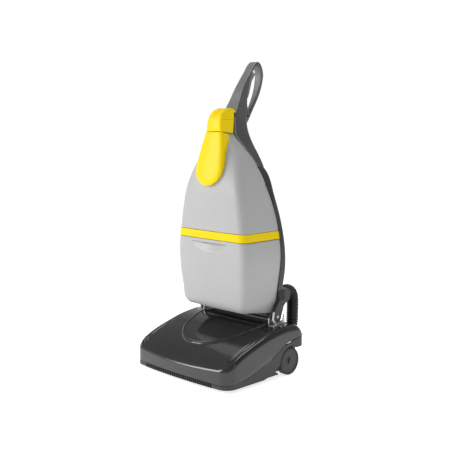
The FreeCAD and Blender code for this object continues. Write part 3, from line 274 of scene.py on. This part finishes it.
def body_half(z, grow=0.0):
    """Right half of the body outline at a height, from the front centre to the back centre."""
    share = (z - SHELL_LOW) / (SHELL_HIGH - SHELL_LOW)
    w, back, front, r, bow = (float(smooth(share, SHARE, c)) for c in (HALF, BACK, FRONT, ROUND, BOW))
    w, back, front = w + grow, back + grow, front - grow
    r = min(max(r + grow, 0.004), 0.9 * w)
    turn = 0.0
    for _ in range(8):
        turn = 2 * math.atan(bow / (w - r + r * math.sin(turn)))
    edge = w - r + r * math.sin(turn)
    big = (edge * edge + bow * bow) / (2 * bow)
    x = np.linspace(0, edge, 46)
    line = list(zip(x, front - bow + big - np.sqrt(big * big - x * x)))
    y1 = front + r * math.cos(turn)
    for t in np.linspace(math.pi / 2 - turn, 0, 12)[1:]:
        line.append((w - r + r * math.cos(t), y1 - r * math.sin(t)))
    for y in np.linspace(y1, back, 14)[1:]:
        line.append((w, y))
    for x in np.linspace(w, 0, 10)[1:]:
        line.append((x, back))
    return line


def whole(half):
    return half + [(-x, y) for x, y in half[-2:0:-1]]


def front_face(x, z, grow=0.0):
    half = body_half(z, grow)[:57]
    return float(np.interp(abs(x), [p[0] for p in half], [p[1] for p in half]))


def grip_depth(x, z):
    r = (GRIP_HALF ** 2 + (GRIP_TOP - GRIP_LOW) ** 2) / (2 * (GRIP_TOP - GRIP_LOW))
    if abs(x) >= GRIP_HALF or z > GRIP_TOP:
        return 0.0
    foot = GRIP_LOW + r - math.sqrt(r * r - x * x)
    s = (z - foot) / (GRIP_TOP - GRIP_LOW)
    return 0.0 if s <= 0 else GRIP_DEEP * s * s / (s + 0.12) * 1.12


def shell_ring(z, grow=0.0, grip=False):
    ring = []
    for x, y in whole(body_half(z, grow)):
        if grip and y < -0.06:
            y += grip_depth(x, z)
        ring.append((x, y, z))
    return ring


def droop(x, y):
    """How far the bin's side wall hangs below its front edge, deeper to the rear."""
    side = float(np.interp(abs(x), (0.1400, 0.1500), (0.0, 1.0)))
    return side * float(np.interp(y, (-0.055, 0.058, 0.064), (0.0, 0.0185, 0.0185)))


def make_bin():
    foot = [(0.2320, -0.010), (0.2328, -0.006), (0.2345, -0.0032), (0.2375, -0.0012), (0.2420, -0.0002)]
    heights = [0.2480, 0.26, 0.275, 0.29, 0.31, 0.33, 0.35, 0.37, 0.39, 0.41, 0.425, 0.433]
    heights += [float(z) for z in np.arange(0.437, 0.4765, 0.0022)]
    rings = [shell_ring(z, g) for z, g in foot] + [shell_ring(z, 0, True) for z in heights]
    rings += [shell_ring(0.4772, 0, True), shell_ring(0.4781), shell_ring(0.483), shell_ring(0.4882),
              shell_ring(0.4890, -0.0006)]
    for k in range(5):
        rings[k] = [(x, y, z - droop(x, y)) for x, y, z in rings[k]]
    obj = loft("bin_shell", rings, SHELL, "bin", low=False, high=False, sharp=50)
    floor = [(x * 0.999, y * 0.999, 0.2350) for x, y, z in shell_ring(0.236, -0.004)]
    tray = loft("bin_floor", [floor, [(x, y, 0.2338) for x, y, z in floor]], SHELL, "bin")
    thicken(obj, 0.003)
    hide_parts("collection_bin")


def make_upper_shell():
    heights = [0.5205, 0.5213] + list(np.linspace(0.527, 0.871, 62)) + [0.872]
    grows = [-0.0007] + [0.0] * 62 + [-0.0004, -0.002]
    rings = [shell_ring(float(z), g) for z, g in zip(heights, grows)]
    n = len(rings[0])
    faces = []
    for k in range(len(rings) - 1):
        for i in range(n):
            j = (i + 1) % n
            x, y, z = rings[k][i]
            if abs(x) < 0.030 and y < -0.05 and 0.722 < z < 0.828:
                continue
            faces.append((k * n + i, k * n + j, (k + 1) * n + j, (k + 1) * n + i))
    faces.append(tuple(range((len(rings) - 1) * n, len(rings) * n)))
    obj = piece("upper_shell_skin", [v for r in rings for v in r], faces, SHELL, "upright_body", sharp=50)
    thicken(obj, 0.003)
    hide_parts("upper_shell")


def make_band():
    """The yellow band, a closed strip round the front, a little proud of the shell."""
    rows = ((0.4905, -0.004), (0.4905, 0.0), (0.4912, 0.001),
            (0.5186, 0.001), (0.5193, 0.0), (0.5193, -0.004))
    rings = []
    for z, grow in rows:
        ring = [(x, y, z) for x, y in body_half(z, grow)[:71]]
        rings.append([(-x, y, z) for x, y, z in ring[:0:-1]] + ring)
    n = len(rings[0])
    faces = strips(rings, False, True)
    faces += [tuple(k * n for k in range(len(rings))), tuple(k * n + n - 1 for k in range(len(rings)))]
    obj = piece("band_strip", [v for r in rings for v in r], faces, YELLOW, "upright_body", sharp=40)
    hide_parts("yellow_band")


# ---------------------------------------------------------------- cover door
PIVOT = (-0.1102, 0.690)
REACH = 0.187
LEAN = math.radians(12)
DOOR_RISE = 0.025


def drop_point(u, v, lift):
    """A point of the cover: across, along its lean and out from it, within the reach of its hinge."""
    y = PIVOT[0] + 0.010 + v * math.sin(LEAN) - lift * math.cos(LEAN)
    z = PIVOT[1] - 0.004 + v * math.cos(LEAN) - lift * math.sin(LEAN)
    away = math.hypot(y - PIVOT[0], z - PIVOT[1])
    if away > REACH:
        y = PIVOT[0] + (y - PIVOT[0]) * REACH / away
        z = PIVOT[1] + (z - PIVOT[1]) * REACH / away
    return (u, y, z)


def drop_outline(shrink):
    """Round at the bottom, narrowing to the top: (across, along) points, right half first."""
    half, head, start, length = 0.066 - shrink, 0.042 - shrink, 0.066, 0.197
    pts = []
    for a in np.linspace(-math.pi / 2, 0, 22):
        pts.append((half * math.cos(a), start + (start - shrink) * math.sin(a)))
    for t in np.linspace(0, 1, 26)[1:]:
        pts.append((half + (head - half) * t + 0.012 * t * (1 - t), start + (length - start) * t))
    for t in np.linspace(0, 1, 10)[1:]:
        pts.append((head * (1 - t), length))
    return pts + [(-u, v) for u, v in pts[-2:0:-1]]


def make_door():
    base = []
    for u, v in drop_outline(0):
        lift = 0.0
        for _ in range(5):
            x, y, z = drop_point(u, v, lift)
            lift += (y - front_face(x, min(z, 0.871), 0.0008)) / math.cos(LEAN)
            lift = min(max(lift, -0.016), DOOR_RISE - 0.012)
        base.append(drop_point(u, v, lift))
    rings = [base]
    steps = ((0, 0.0135), (0.0008, 0.0095), (0.0030, 0.0062), (0.0062, 0.0040), (0.0100, 0.0026),
             (0.015, 0.0016), (0.022, 0.0008), (0.030, 0.0003), (0.040, 0.0))
    for shrink, below in steps:
        rings.append([drop_point(u, v, DOOR_RISE - below) for u, v in drop_outline(shrink)])
    obj = loft("cover_drop", rings, YELLOW, "door", low=False, high=True, sharp=48)
    thicken(obj, 0.0028)
    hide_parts("cover_door")


# ---------------------------------------------------------------- control head
CONTROL_HALF = 0.038


def control_profile():
    """Side outline of the control head and its buttons, front first, as (y, z)."""
    front = [(-0.0810, 0.8600), (-0.0815, 0.8800), (-0.0812, 0.8950), (-0.0785, 0.9150), (-0.0705, 0.9340),
             (-0.0570, 0.9480), (-0.0370, 0.9568), (-0.0200, 0.9590), (-0.0120, 0.9570), (-0.0070, 0.9500)]
    t = np.linspace(0, 1, len(front))
    fine = np.linspace(0, 1, 60)
    return list(zip(smooth(fine, t, [p[0] for p in front]), smooth(fine, t, [p[1] for p in front])))


def control_block(name, body, node, low, high, left, right, rear):
    """A rounded block between two heights and two sides, following the side outline."""
    outline = control_profile()
    rising_y, rising_z = zip(*outline[:40])
    line = [(float(np.interp(low, rising_z, rising_y)), low)]
    line += [p for p in outline if low < p[1] < high]
    if high < 0.95:
        line.append((float(np.interp(high, rising_z, rising_y)), high))
    stops = {left, right, *np.linspace(-CONTROL_HALF, CONTROL_HALF, 33)}
    for edge in (0.0375, 0.0365, 0.0350, 0.0330, 0.0305):
        stops |= {edge, -edge}
    rings = []
    for x in sorted(stop for stop in stops if left <= stop <= right):
        near = min(CONTROL_HALF - abs(x), 0.009)
        inset = 0.009 - math.sqrt(max(0.0, 0.009 ** 2 - (0.009 - near) ** 2))
        crown = 0.0025 * (abs(x) / CONTROL_HALF) ** 2
        ring = []
        for y, z in line:
            ring.append((x, y + inset * 0.8 + crown, z - inset * 0.75 if z > 0.93 else z))
        top = ring[-1][2]
        ring += [(x, rear(top), top), (x, rear((top + low) / 2), (top + low) / 2), (x, rear(low), low)]
        rings.append([fit_door(p) for p in ring])
    obj = loft(name, rings, YELLOW, body, sharp=42)
    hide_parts(node)
    return obj


def fit_door(p):
    """Narrows the block to its top and keeps it clear of the arc of the door's top edge."""
    x, y, z = p
    x *= float(np.interp(z, (0.868, 0.900, 0.920, 0.945, 0.960), (1.05, 0.99, 0.93, 0.86, 0.80)))
    away = math.hypot(y - PIVOT[0], z - PIVOT[1])
    need = REACH + 0.0015
    if away < need:
        z = PIVOT[1] + math.sqrt(need * need - (y - PIVOT[0]) ** 2)
    return (x, y, z)


def make_controls():
    def behind(z):
        return float(np.interp(z, (0.846, 0.876, 0.900, 0.918, 0.940, 0.958),
                               (-0.022, -0.019, -0.0140, -0.0110, -0.0090, -0.0090)))

    w, gap = CONTROL_HALF, 0.0005
    control_block("control_base", "upright_body", "control_head", 0.8700, 0.9179, -w, w, behind)
    control_block("switch_key_right", "button_right", "switch_right", 0.9184, 1.0, gap, w, behind)
    control_block("switch_key_left", "button_left", "switch_left", 0.9184, 1.0, -w, -gap, behind)


# ---------------------------------------------------------------- neck and handle
HANDLE_Z = (0.925, 0.961, 1.022, 1.060, 1.131)
HANDLE_W = (0.031, 0.029, 0.021, 0.018, 0.018)
REAR_Z = (0.925, 0.961, 1.022, 1.075, 1.131)
REAR_W = (0.010, 0.011, 0.014, 0.018, 0.018)


def quarter(n):
    """Angles of a quarter turn in n points, without the first."""
    return np.linspace(0, math.pi / 2, n)[1:]


def rounded_slab(w, f, b, rf, rb):
    """Half outline of a column in plan, front centre to back centre, as (x, y)."""
    pts = [(x, f) for x in np.linspace(0, w - rf, 8)]
    pts += [(w - rf + rf * math.sin(a), f + rf - rf * math.cos(a)) for a in quarter(8)]
    pts += [(w, y) for y in np.linspace(f + rf, b - rb, 6)[1:]]
    pts += [(w - rb + rb * math.cos(a), b - rb + rb * math.sin(a)) for a in quarter(8)]
    pts += [(x, b) for x in np.linspace(w - rb, 0, 6)[1:]]
    return pts


def paint_side_shade(obj):
    """The sides of the column and the handle are smoother than its front and back, and painted darker as
    shade.
    """
    obj.data.materials.append(HANDLE_SIDE_SHADE)
    for face in obj.data.polygons:
        if abs(face.normal.x) > 0.62:
            face.material_index = 1


def bead(name, line, radius):
    """A thin raised line along a column's edge, in a lighter plastic that paints a highlight on it."""
    rings = []
    for x, y, z in line:
        ring = []
        for i in range(10):
            a = 2 * math.pi * i / 10
            ring.append((x + radius * math.cos(a), y + radius * math.sin(a), z))
        rings.append(ring)
    obj = loft(name, rings, BEAD_HIGHLIGHT, "upright_body", sharp=60)


def make_neck():
    zs = (0.750, 0.790, 0.835, 0.870, 0.900, 0.925, 0.950)
    ws = (0.122, 0.097, 0.064, 0.044, 0.035, 0.0308, 0.0290)
    fs = (0.0285, 0.0145, 0.0005, -0.011, -0.004, 0.0005, 0.0100)
    bs = (0.064, 0.064, 0.065, 0.066, 0.066, 0.070, 0.0705)
    rings = []
    for z in np.linspace(0.750, 0.950, 54):
        w, f, b = (float(smooth(z, zs, c)) for c in (ws, fs, bs))
        rings.append([(x, y, z) for x, y in whole(rounded_slab(w, f, b, 0.006, 0.013))])
    obj = loft("neck_shell", rings, HANDLE, "upright_body", sharp=40)
    fin = []
    for z, y in ((0.876, 0.0655), (0.884, 0.070), (0.898, 0.0815), (0.914, 0.0945), (0.925, 0.1015)):
        fin.append([(x, yy, z) for x, yy in whole(rounded_slab(0.010, 0.055, y, 0.001, 0.006))])
    tail = loft("neck_fin", fin, HANDLE, "upright_body", sharp=40)
    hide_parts("neck_column")
    for o in (obj, tail):
        paint_side_shade(o)
    for side in (1, -1):
        line = []
        for z in np.linspace(0.756, 0.948, 50):
            w, f = float(smooth(z, zs, ws)), float(smooth(z, zs, fs))
            line.append((side * (w - 0.0016), f + 0.0016, z))
        bead(f"neck_bead_{'right' if side > 0 else 'left'}", line, 0.0014)


def resample(points, count):
    p = np.asarray(points, float)
    t = np.concatenate([[0], np.cumsum(np.hypot(*np.diff(p, axis=0).T))])
    fine = np.linspace(0, t[-1], count)
    return np.column_stack([smooth(fine, t, p[:, 0]), smooth(fine, t, p[:, 1])])


def make_handle():
    outer = [(-2, 925), (12, 961), (28, 990), (44, 1022), (65, 1055), (92, 1090), (118, 1123), (130, 1131),
             (143, 1129), (154, 1118), (162, 1100), (165, 1084), (163, 1057), (155, 1025), (140, 992),
             (123, 963), (100, 925)]
    inner = [(80, 936), (72, 955), (70, 972), (73, 991), (83, 1023), (97, 1063), (113, 1097), (128, 1112),
             (140, 1112), (149, 1104), (154, 1084), (146, 1042), (133, 1009), (110, 966), (91, 934)]
    a = resample(outer, 120) / 1000
    b = resample(inner, 120) / 1000
    rings = []
    for k in range(120):
        (ya, za), (yb, zb) = a[k], b[k]
        z = (za + zb) / 2
        front = np.interp(z, HANDLE_Z, HANDLE_W)
        rear = np.interp(z, REAR_Z, REAR_W)
        share = np.interp(k, (52, 66), (0, 1))
        w = front * (1 - share) + rear * share
        span = math.hypot(yb - ya, zb - za)
        r = min(0.0055, 0.42 * span, 0.42 * w)
        ring = []
        for u, x in bar_section(span, w, r, k < 60 and 0.991 < zb < 1.098):
            y = ya + (yb - ya) * u / span
            zz = za + (zb - za) * u / span
            ring.append((x, y, min(max(zz, 0.9255), 1.1299)))
        rings.append(ring)
    obj = loft("handle_bow", rings, HANDLE, "upright_body", sharp=42)
    paint_side_shade(obj)
    for side in (1, -1):
        line = []
        for k in range(6, 62):
            y, z = a[k]
            w = float(np.interp(z, HANDLE_Z, HANDLE_W))
            line.append((side * (w - 0.0016), y + 0.0013, min(z - 0.0006, 1.1285)))
        bead(f"handle_bead_{'right' if side > 0 else 'left'}", line, 0.0013)
    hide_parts("handle_loop")


def bar_section(span, w, r, slot):
    """Rounded rectangle from the outer face (u = 0) to the inner one, with or without the trigger slot."""
    pts = [(0.0, x) for x in np.linspace(-w + r, w - r, 7)]
    pts += [(r - r * math.cos(t), w - r + r * math.sin(t)) for t in quarter(6)]
    pts += [(u, w) for u in np.linspace(r, span - r, 5)[1:]]
    pts += [(span - r + r * math.sin(t), w - r + r * math.cos(t)) for t in quarter(6)]
    deep = span - (min(0.012, 0.5 * span) if slot else 0.0)
    pts += [(span, 0.0082), (deep, 0.0080), (deep, 0.0), (deep, -0.0080), (span, -0.0082), (span, -w + r)]
    pts += [(span - r + r * math.cos(t), -w + r - r * math.sin(t)) for t in quarter(6)]
    pts += [(u, -w) for u in np.linspace(span - r, r, 5)[1:]]
    pts += [(r - r * math.sin(t), -w + r - r * math.cos(t)) for t in quarter(6)[:-1]]
    return pts


# ---------------------------------------------------------------- floor head
CROWN_Y = (-0.264, -0.2548, -0.2323, -0.2006, -0.169, -0.1346, -0.1003, -0.0607, -0.0211, 0.0106,
           0.0396, 0.0792, 0.120, 0.140, 0.153)
CROWN_Z = (0.0650, 0.0760, 0.0960, 0.1150, 0.1290, 0.1410, 0.1510, 0.1620, 0.1705, 0.1750,
           0.178, 0.178, 0.173, 0.1602, 0.1424)
SEAM_Y = (-0.264, -0.178, -0.147, -0.094, -0.018, 0.035, 0.108, 0.153)
SEAM_Z = (0.025, 0.032, 0.039, 0.055, 0.082, 0.113, 0.131, 0.134)
HEAD_HALF, HEAD_FRONT, HEAD_REAR, HEAD_BOW = 0.245, -0.264, 0.153, 0.008


def plan_half(inset):
    """Right half of the head outline from the front centre to the rear centre, with its outward direction."""
    w, front, rear = HEAD_HALF - inset, HEAD_FRONT + inset, HEAD_REAR - inset
    r = max(0.045 - inset, 0.002)
    rr = 0.7 * r
    side = front + HEAD_BOW
    a = w - r
    big = (a * a + HEAD_BOW ** 2) / (2 * HEAD_BOW)
    pts = [(x, front + big - math.sqrt(big * big - x * x)) for x in np.linspace(0, a, 40)]
    out = [(0.0, -1.0)] * 40
    for t in np.linspace(0, math.pi / 2, 16)[1:]:
        pts.append((a + r * math.sin(t), side + r - r * math.cos(t)))
        out.append((math.sin(t), -math.cos(t)))
    for y in np.linspace(side + r, rear - rr, 70)[1:]:
        pts.append((w, y))
        out.append((1.0, 0.0))
    for t in np.linspace(0, math.pi / 2, 12)[1:]:
        pts.append((w - rr + rr * math.cos(t), rear - rr + rr * math.sin(t)))
        out.append((math.cos(t), math.sin(t)))
    for x in np.linspace(w - rr, 0, 34)[1:]:
        pts.append((x, rear))
        out.append((0.0, 1.0))
    return pts, out


def hood_height(y, inset, out):
    """Top surface of the hood: crown line, rounded side edges, and the two flutes at each front corner."""
    crown = float(smooth(y, CROWN_Y, CROWN_Z))
    radius = 0.022 * max(0.0, out[0]) ** 1.5 + 0.0045 * max(0.0, -out[1]) + 0.014 * max(0.0, out[1])
    drop = 0.0
    if inset < radius:
        drop = radius - math.sqrt(max(0.0, radius ** 2 - (radius - inset) ** 2))
    z = crown - drop
    fade = float(np.interp(y, (-0.250, -0.238, -0.150, -0.060), (0.0, 1.0, 0.8, 0.0)))
    for at in (0.017, 0.029):
        z -= 0.0042 * fade * math.exp(-((inset - at) / 0.0032) ** 2) * max(0.0, out[0])
    return z


def paint_well_shade(obj):
    """The flat top under the bin gets a darker matt copy of the plastic, painted shade in place of the body's
    shadow and dark reflection there, where the rest of the hood is glossy.
    """
    obj.data.materials.append(WELL_SHADE)
    for face in obj.data.polygons:
        x, y, z = face.center
        if y > 0.010 and abs(x) < 0.160 and face.normal.z > 0.7:
            face.material_index = 1


def make_hood():
    insets = [0.0, 0.0002, 0.0006, 0.0012, 0.002, 0.003, 0.0042] + list(np.arange(0.0056, 0.040, 0.0013))
    rings = []
    pts, out = plan_half(0.0)
    for share in (0.0, 0.02, 0.5, 1.0):
        ring = []
        for (x, y), n in zip(pts, out):
            low = float(smooth(y, SEAM_Y, SEAM_Z)) + 0.0005
            high = hood_height(y, 0.0, n)
            pull = 0.0007 if share == 0.0 else 0.0
            ring.append((x - pull * n[0], y - pull * n[1], low + (high - low) * share))
        rings.append(ring)
    for inset in insets[1:]:
        pts, out = plan_half(inset)
        rings.append([(x, y, hood_height(y, inset, n)) for (x, y), n in zip(pts, out)])
    last = rings[-1]
    cols = 40
    verts = []
    faces = []
    for side in (1, -1):
        base = len(verts)
        for ring in rings:
            verts += [(side * x, y, z) for x, y, z in ring]
        n = len(last)
        quads(faces, base, n - 1, len(rings) - 1)
        inner = len(verts)
        for x, y, z in last:
            crown = float(smooth(y, CROWN_Y, CROWN_Z))
            for c in range(cols + 1):
                s = c / cols
                zz = crown + (z - crown) * max(0.0, 1 - (1 - s) * x / 0.02) if x > 0 else z
                verts.append((side * x * s, y, zz))
        quads(faces, inner, cols, n - 1)
    obj = piece("hood_shell", verts, faces, HOOD, "floor_head", sharp=28)
    thicken(obj, 0.0028)
    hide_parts("hood")
    paint_well_shade(obj)


def tongue_half(inset):
    """Right half of the raised tongue, from the nose to its rear corner."""
    pts = [(0.0, -0.190), (0.040, -0.1855), (0.076, -0.168), (0.104, -0.143), (0.127, -0.115),
           (0.143, -0.082), (0.152, -0.050), (0.162, -0.018), (0.167, 0.0), (0.168, 0.014), (0.168, 0.028)]
    line = resample(pts, 90)
    way = np.gradient(line, axis=0)
    way /= np.linalg.norm(way, axis=1)[:, None]
    moved = line - inset * np.column_stack([way[:, 1], -way[:, 0]])
    moved[0, 0] = 0.0
    moved[:, 1] = np.minimum(moved[:, 1], 0.028)
    return moved


def make_tongue():
    lip = ((0.0006, 0.0002), (0.0008, 0.0025), (0.0016, 0.0042), (0.0030, 0.0055), (0.0048, 0.0060),
           (0.0068, 0.0056), (0.0090, 0.0046), (0.0115, 0.0038), (0.0150, 0.0035), (0.020, 0.0034))
    rings = []
    for inset, rise in lip:
        rings.append([(x, y, float(smooth(y, CROWN_Y, CROWN_Z)) + rise) for x, y in tongue_half(inset)])
    verts, faces = [], []
    cols = 30
    n = len(rings[0])
    for side in (1, -1):
        base = len(verts)
        for ring in rings:
            verts += [(side * x, y, z) for x, y, z in ring]
        quads(faces, base, n - 1, len(rings) - 1)
        inner = len(verts)
        for x, y, z in rings[-1]:
            for c in range(cols + 1):
                verts.append((side * x * c / cols, y, z))
        quads(faces, inner, cols, n - 1)
    obj = piece("hood_tongue", verts, faces, HOOD, "floor_head", sharp=40)
    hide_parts("hood_centre_panel")


def make_comb():
    """The comb along the front edge: a thin rail under the head, and a row of blocks on the lip, both in a
    near-black, sheenless plastic that paints the shade in the slots and under the head.
    """
    verts, faces = [], []

    def block(x0, x1, y0, y1, z0, z1, taper):
        base = len(verts)
        for z, t in ((z0, taper), (z1, 0.0)):
            verts.extend([(x0 + t, y0, z), (x1 - t, y0, z), (x1 - t, y1, z), (x0 + t, y1, z)])
        for f in ((0, 1, 2, 3), (4, 5, 6, 7), (0, 1, 5, 4), (1, 2, 6, 5), (2, 3, 7, 6), (3, 0, 4, 7)):
            faces.append(tuple(base + i for i in f))

    block(-0.176, 0.176, -0.2560, -0.2520, 0.0125, 0.0165, 0.0)
    for x in np.arange(-0.172, 0.1725, 0.0100):
        y = HEAD_FRONT + HEAD_BOW * (x / 0.2) ** 2
        block(x - 0.0028, x + 0.0028, y - 0.0003, y + 0.006, 0.0110, 0.0270, 0.0003)
    obj = piece("comb_teeth", verts, faces, SLOT_SHADE, "floor_head", sharp=30, weld=1e-7)
    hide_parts("front_comb_strip")


def make_arch_liners():
    """Dark shells inside the head, over and in front of each wheel."""
    for side, mirror in (("right", 1), ("left", -1)):
        rings = []
        for a in np.linspace(math.radians(28), math.radians(194), 40):
            c, s = math.cos(a), math.sin(a)
            wide = float(np.interp(math.degrees(a), (28, 45, 53), (0.222, 0.230, 0.2395)))
            ring = []
            for x, r in ((wide, 0.0572), (0.2080, 0.0572), (0.2080, 0.0300),
                         (0.2068, 0.0300), (0.2068, 0.0584), (wide, 0.0584)):
                ring.append((mirror * x, WHEEL[0] + r * c, WHEEL[1] + r * s))
            rings.append(ring)
        obj = loft(f"arch_liner_{side}", rings, BLACK, "floor_head", sharp=40)


# ---------------------------------------------------------------- wheels
WHEEL = (0.070, 0.050)
WHEEL_FACE = 0.241


def make_wheel(side, body):
    """A dished disc and a grooved tyre, each a profile of (distance from the outer face, radius)."""
    disc = [(-0.0225, 0.0062), (-0.0225, 0.0130), (-0.020, 0.0135), (-0.020, 0.0440), (-0.0225, 0.0448),
            (-0.0005, 0.0449), (0.0006, 0.0444), (0.0010, 0.0436), (0.0008, 0.0426), (-0.0006, 0.0418),
            (-0.0012, 0.0408), (-0.0010, 0.0250), (-0.0012, 0.0120), (-0.0008, 0.0112), (0.0002, 0.0105),
            (0.0002, 0.0062)]
    tyre = [(-0.0225, 0.0451), (-0.0225, 0.0485), (-0.0212, 0.0497), (-0.0190, 0.0500)]
    for k in range(5):
        x = -0.0175 + 0.0034 * k
        tyre += [(x, 0.0500), (x + 0.0004, 0.0492), (x + 0.0010, 0.0492), (x + 0.0014, 0.0500)]
    tyre += [(-0.0012, 0.0500), (-0.0004, 0.0496), (0.0002, 0.0488), (0.0002, 0.0452)]
    mirror = 1 if side == "right" else -1
    disc, tyre = ([(mirror * (WHEEL_FACE + x), r) for x, r in line] for line in (disc, tyre))
    a = lathe(f"wheel_disc_{side}", disc, WHEEL, SKIRT, body, 96, sharp=30)
    b = lathe(f"wheel_tread_{side}", tyre, WHEEL, TYRE, body, 96, sharp=30)
    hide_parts(f"wheel_{side}")
    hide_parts(f"tyre_{side}")


# ---------------------------------------------------------------- suction hose
HOSE_ROUTE = ((0.115, 0.136, 0.273), (0.115, 0.165, 0.273), (0.115, 0.208, 0.277), (0.115, 0.2320, 0.247),
              (0.115, 0.2305, 0.185), (0.115, 0.2290, 0.126), (0.115, 0.205, 0.098), (0.115, 0.170, 0.100),
              (0.115, 0.156, 0.100))
RIB_PITCH = 0.0082
RIB = ((0.0, 0.0198), (0.16, 0.0204), (0.30, 0.0234), (0.48, 0.0239), (0.66, 0.0234), (0.80, 0.0204))


def hose_line():
    data = bpy.data.curves.new("hose_route", "CURVE")
    data.dimensions = "3D"
    data.resolution_u = 24
    spline = data.splines.new("NURBS")
    spline.points.add(len(HOSE_ROUTE) - 1)
    for point, at in zip(spline.points, HOSE_ROUTE):
        point.co = (*at, 1)
    spline.order_u = 3
    spline.use_endpoint_u = True
    holder = bpy.data.objects.new("hose_route", data)
    bpy.context.scene.collection.objects.link(holder)
    mesh = bpy.data.meshes.new_from_object(holder)
    line = np.array([tuple(v.co) for v in mesh.vertices])
    bpy.data.objects.remove(holder)
    return line


def make_hose():
    line = hose_line()
    steps = np.linalg.norm(np.diff(line, axis=0), axis=1)
    run = np.concatenate([[0], np.cumsum(steps)])
    length = float(run[-1])
    ribs = int(length / RIB_PITCH)
    pitch = length / ribs
    at, radius = [], []
    for k in range(ribs):
        for share, r in RIB:
            at.append((k + share) * pitch)
            radius.append(r)
    at.append(length)
    radius.append(0.0205)
    centre = np.column_stack([np.interp(at, run, line[:, i]) for i in range(3)])
    way = np.column_stack([np.gradient(centre[:, i], at) for i in range(3)])
    way[:, 0] = 0
    for _ in range(6):
        way[1:-1] = (way[:-2] + 2 * way[1:-1] + way[2:]) / 4
    way /= np.linalg.norm(way, axis=1)[:, None]
    rings = []
    for c, w, r in zip(centre, way, radius):
        up = np.array([0.0, -w[2], w[1]])
        ring = []
        for i in range(32):
            a = 2 * math.pi * i / 32
            ring.append(tuple(c + r * (math.cos(a) * np.array([1.0, 0, 0]) + math.sin(a) * up)))
        rings.append(ring)
    obj = loft("hose_tube", rings, HOSE, None, sharp=60)
    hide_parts("suction_hose")
    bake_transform(obj)


for make in (make_bin, make_upper_shell, make_band, make_door, make_controls, make_neck, make_handle,
             make_hood, make_tongue, make_comb, make_arch_liners, make_hose):
    make()
make_wheel("right", "wheel_right")
make_wheel("left", "wheel_left")


# ---------------------------------------------------------------- floor, light and camera
def make_stage():
    bpy.ops.mesh.primitive_plane_add(size=80, location=(0, 0, -0.0005))
    floor = bpy.context.object
    floor.name = "floor"
    m, t, shader = tree_of("floor_paper")
    noise = t.nodes.new("ShaderNodeTexNoise")
    noise.inputs["Scale"].default_value = 3.0
    ramp = ramp_of(t, grey(0.93), grey(0.96))
    link(t, noise, "Fac", ramp, "Fac")
    link(t, ramp, "Color", shader, "Base Color")
    shader.inputs["Roughness"].default_value = 0.8
    shader.inputs["Emission Color"].default_value = (1.0, 1.0, 1.0, 1)
    shader.inputs["Emission Strength"].default_value = 0.75
    floor.data.materials.append(m)


def area_light(name, at, target, size, power):
    data = bpy.data.lights.new(name, "AREA")
    data.shape = "RECTANGLE"
    data.size, data.size_y = size
    data.energy = power
    lamp = bpy.data.objects.new(name, data)
    lamp.location = at
    lamp.rotation_euler = (Vector(target) - Vector(at)).to_track_quat("-Z", "Y").to_euler()
    bpy.context.scene.collection.objects.link(lamp)


def make_lights():
    area_light("key", (-2.4, -3.2, 2.3), (0, 0, 0.5), (1.6, 2.4), 120)
    area_light("fill", (3.4, -0.2, 2.0), (0, 0, 0.5), (0.9, 2.2), 8)
    area_light("top", (0.2, 0.6, 3.2), (0, 0, 0.4), (2.0, 1.4), 34)


def make_world():
    """White round the horizon to the front and left, darker above and to the right."""
    world = bpy.data.worlds.new("studio")
    world.use_nodes = True
    t = world.node_tree
    where = t.nodes.new("ShaderNodeTexCoord")
    split = t.nodes.new("ShaderNodeSeparateXYZ")
    above = ramp_of(t, grey(1.0), grey(0.30), 0.20, 0.55)
    beside = ramp_of(t, grey(1.0), grey(0.45), 0.05, 0.60)
    both = t.nodes.new("ShaderNodeMix")
    both.data_type = "RGBA"
    both.blend_type = "MULTIPLY"
    both.inputs[0].default_value = 1.0
    background = t.nodes["Background"]
    background.inputs["Strength"].default_value = 1.0
    link(t, where, "Generated", split, "Vector")
    link(t, split, "Z", above, "Fac")
    link(t, split, "X", beside, "Fac")
    link(t, above, "Color", both, 6)
    link(t, beside, "Color", both, 7)
    link(t, both, 2, background, "Color")
    bpy.context.scene.world = world


def make_camera():
    data = bpy.data.cameras.new("camera")
    data.sensor_width = 36.0
    data.lens = 62.93
    camera = bpy.data.objects.new("camera", data)
    camera.location = (2.0680, -2.0814, 0.9032)
    camera.rotation_euler = (math.radians(90 - 7.4927), 0, math.radians(44.8164))
    bpy.context.scene.collection.objects.link(camera)
    bpy.context.scene.camera = camera


make_stage()
make_lights()
make_world()
make_camera()
bpy.context.scene.view_settings.view_transform = "Standard"
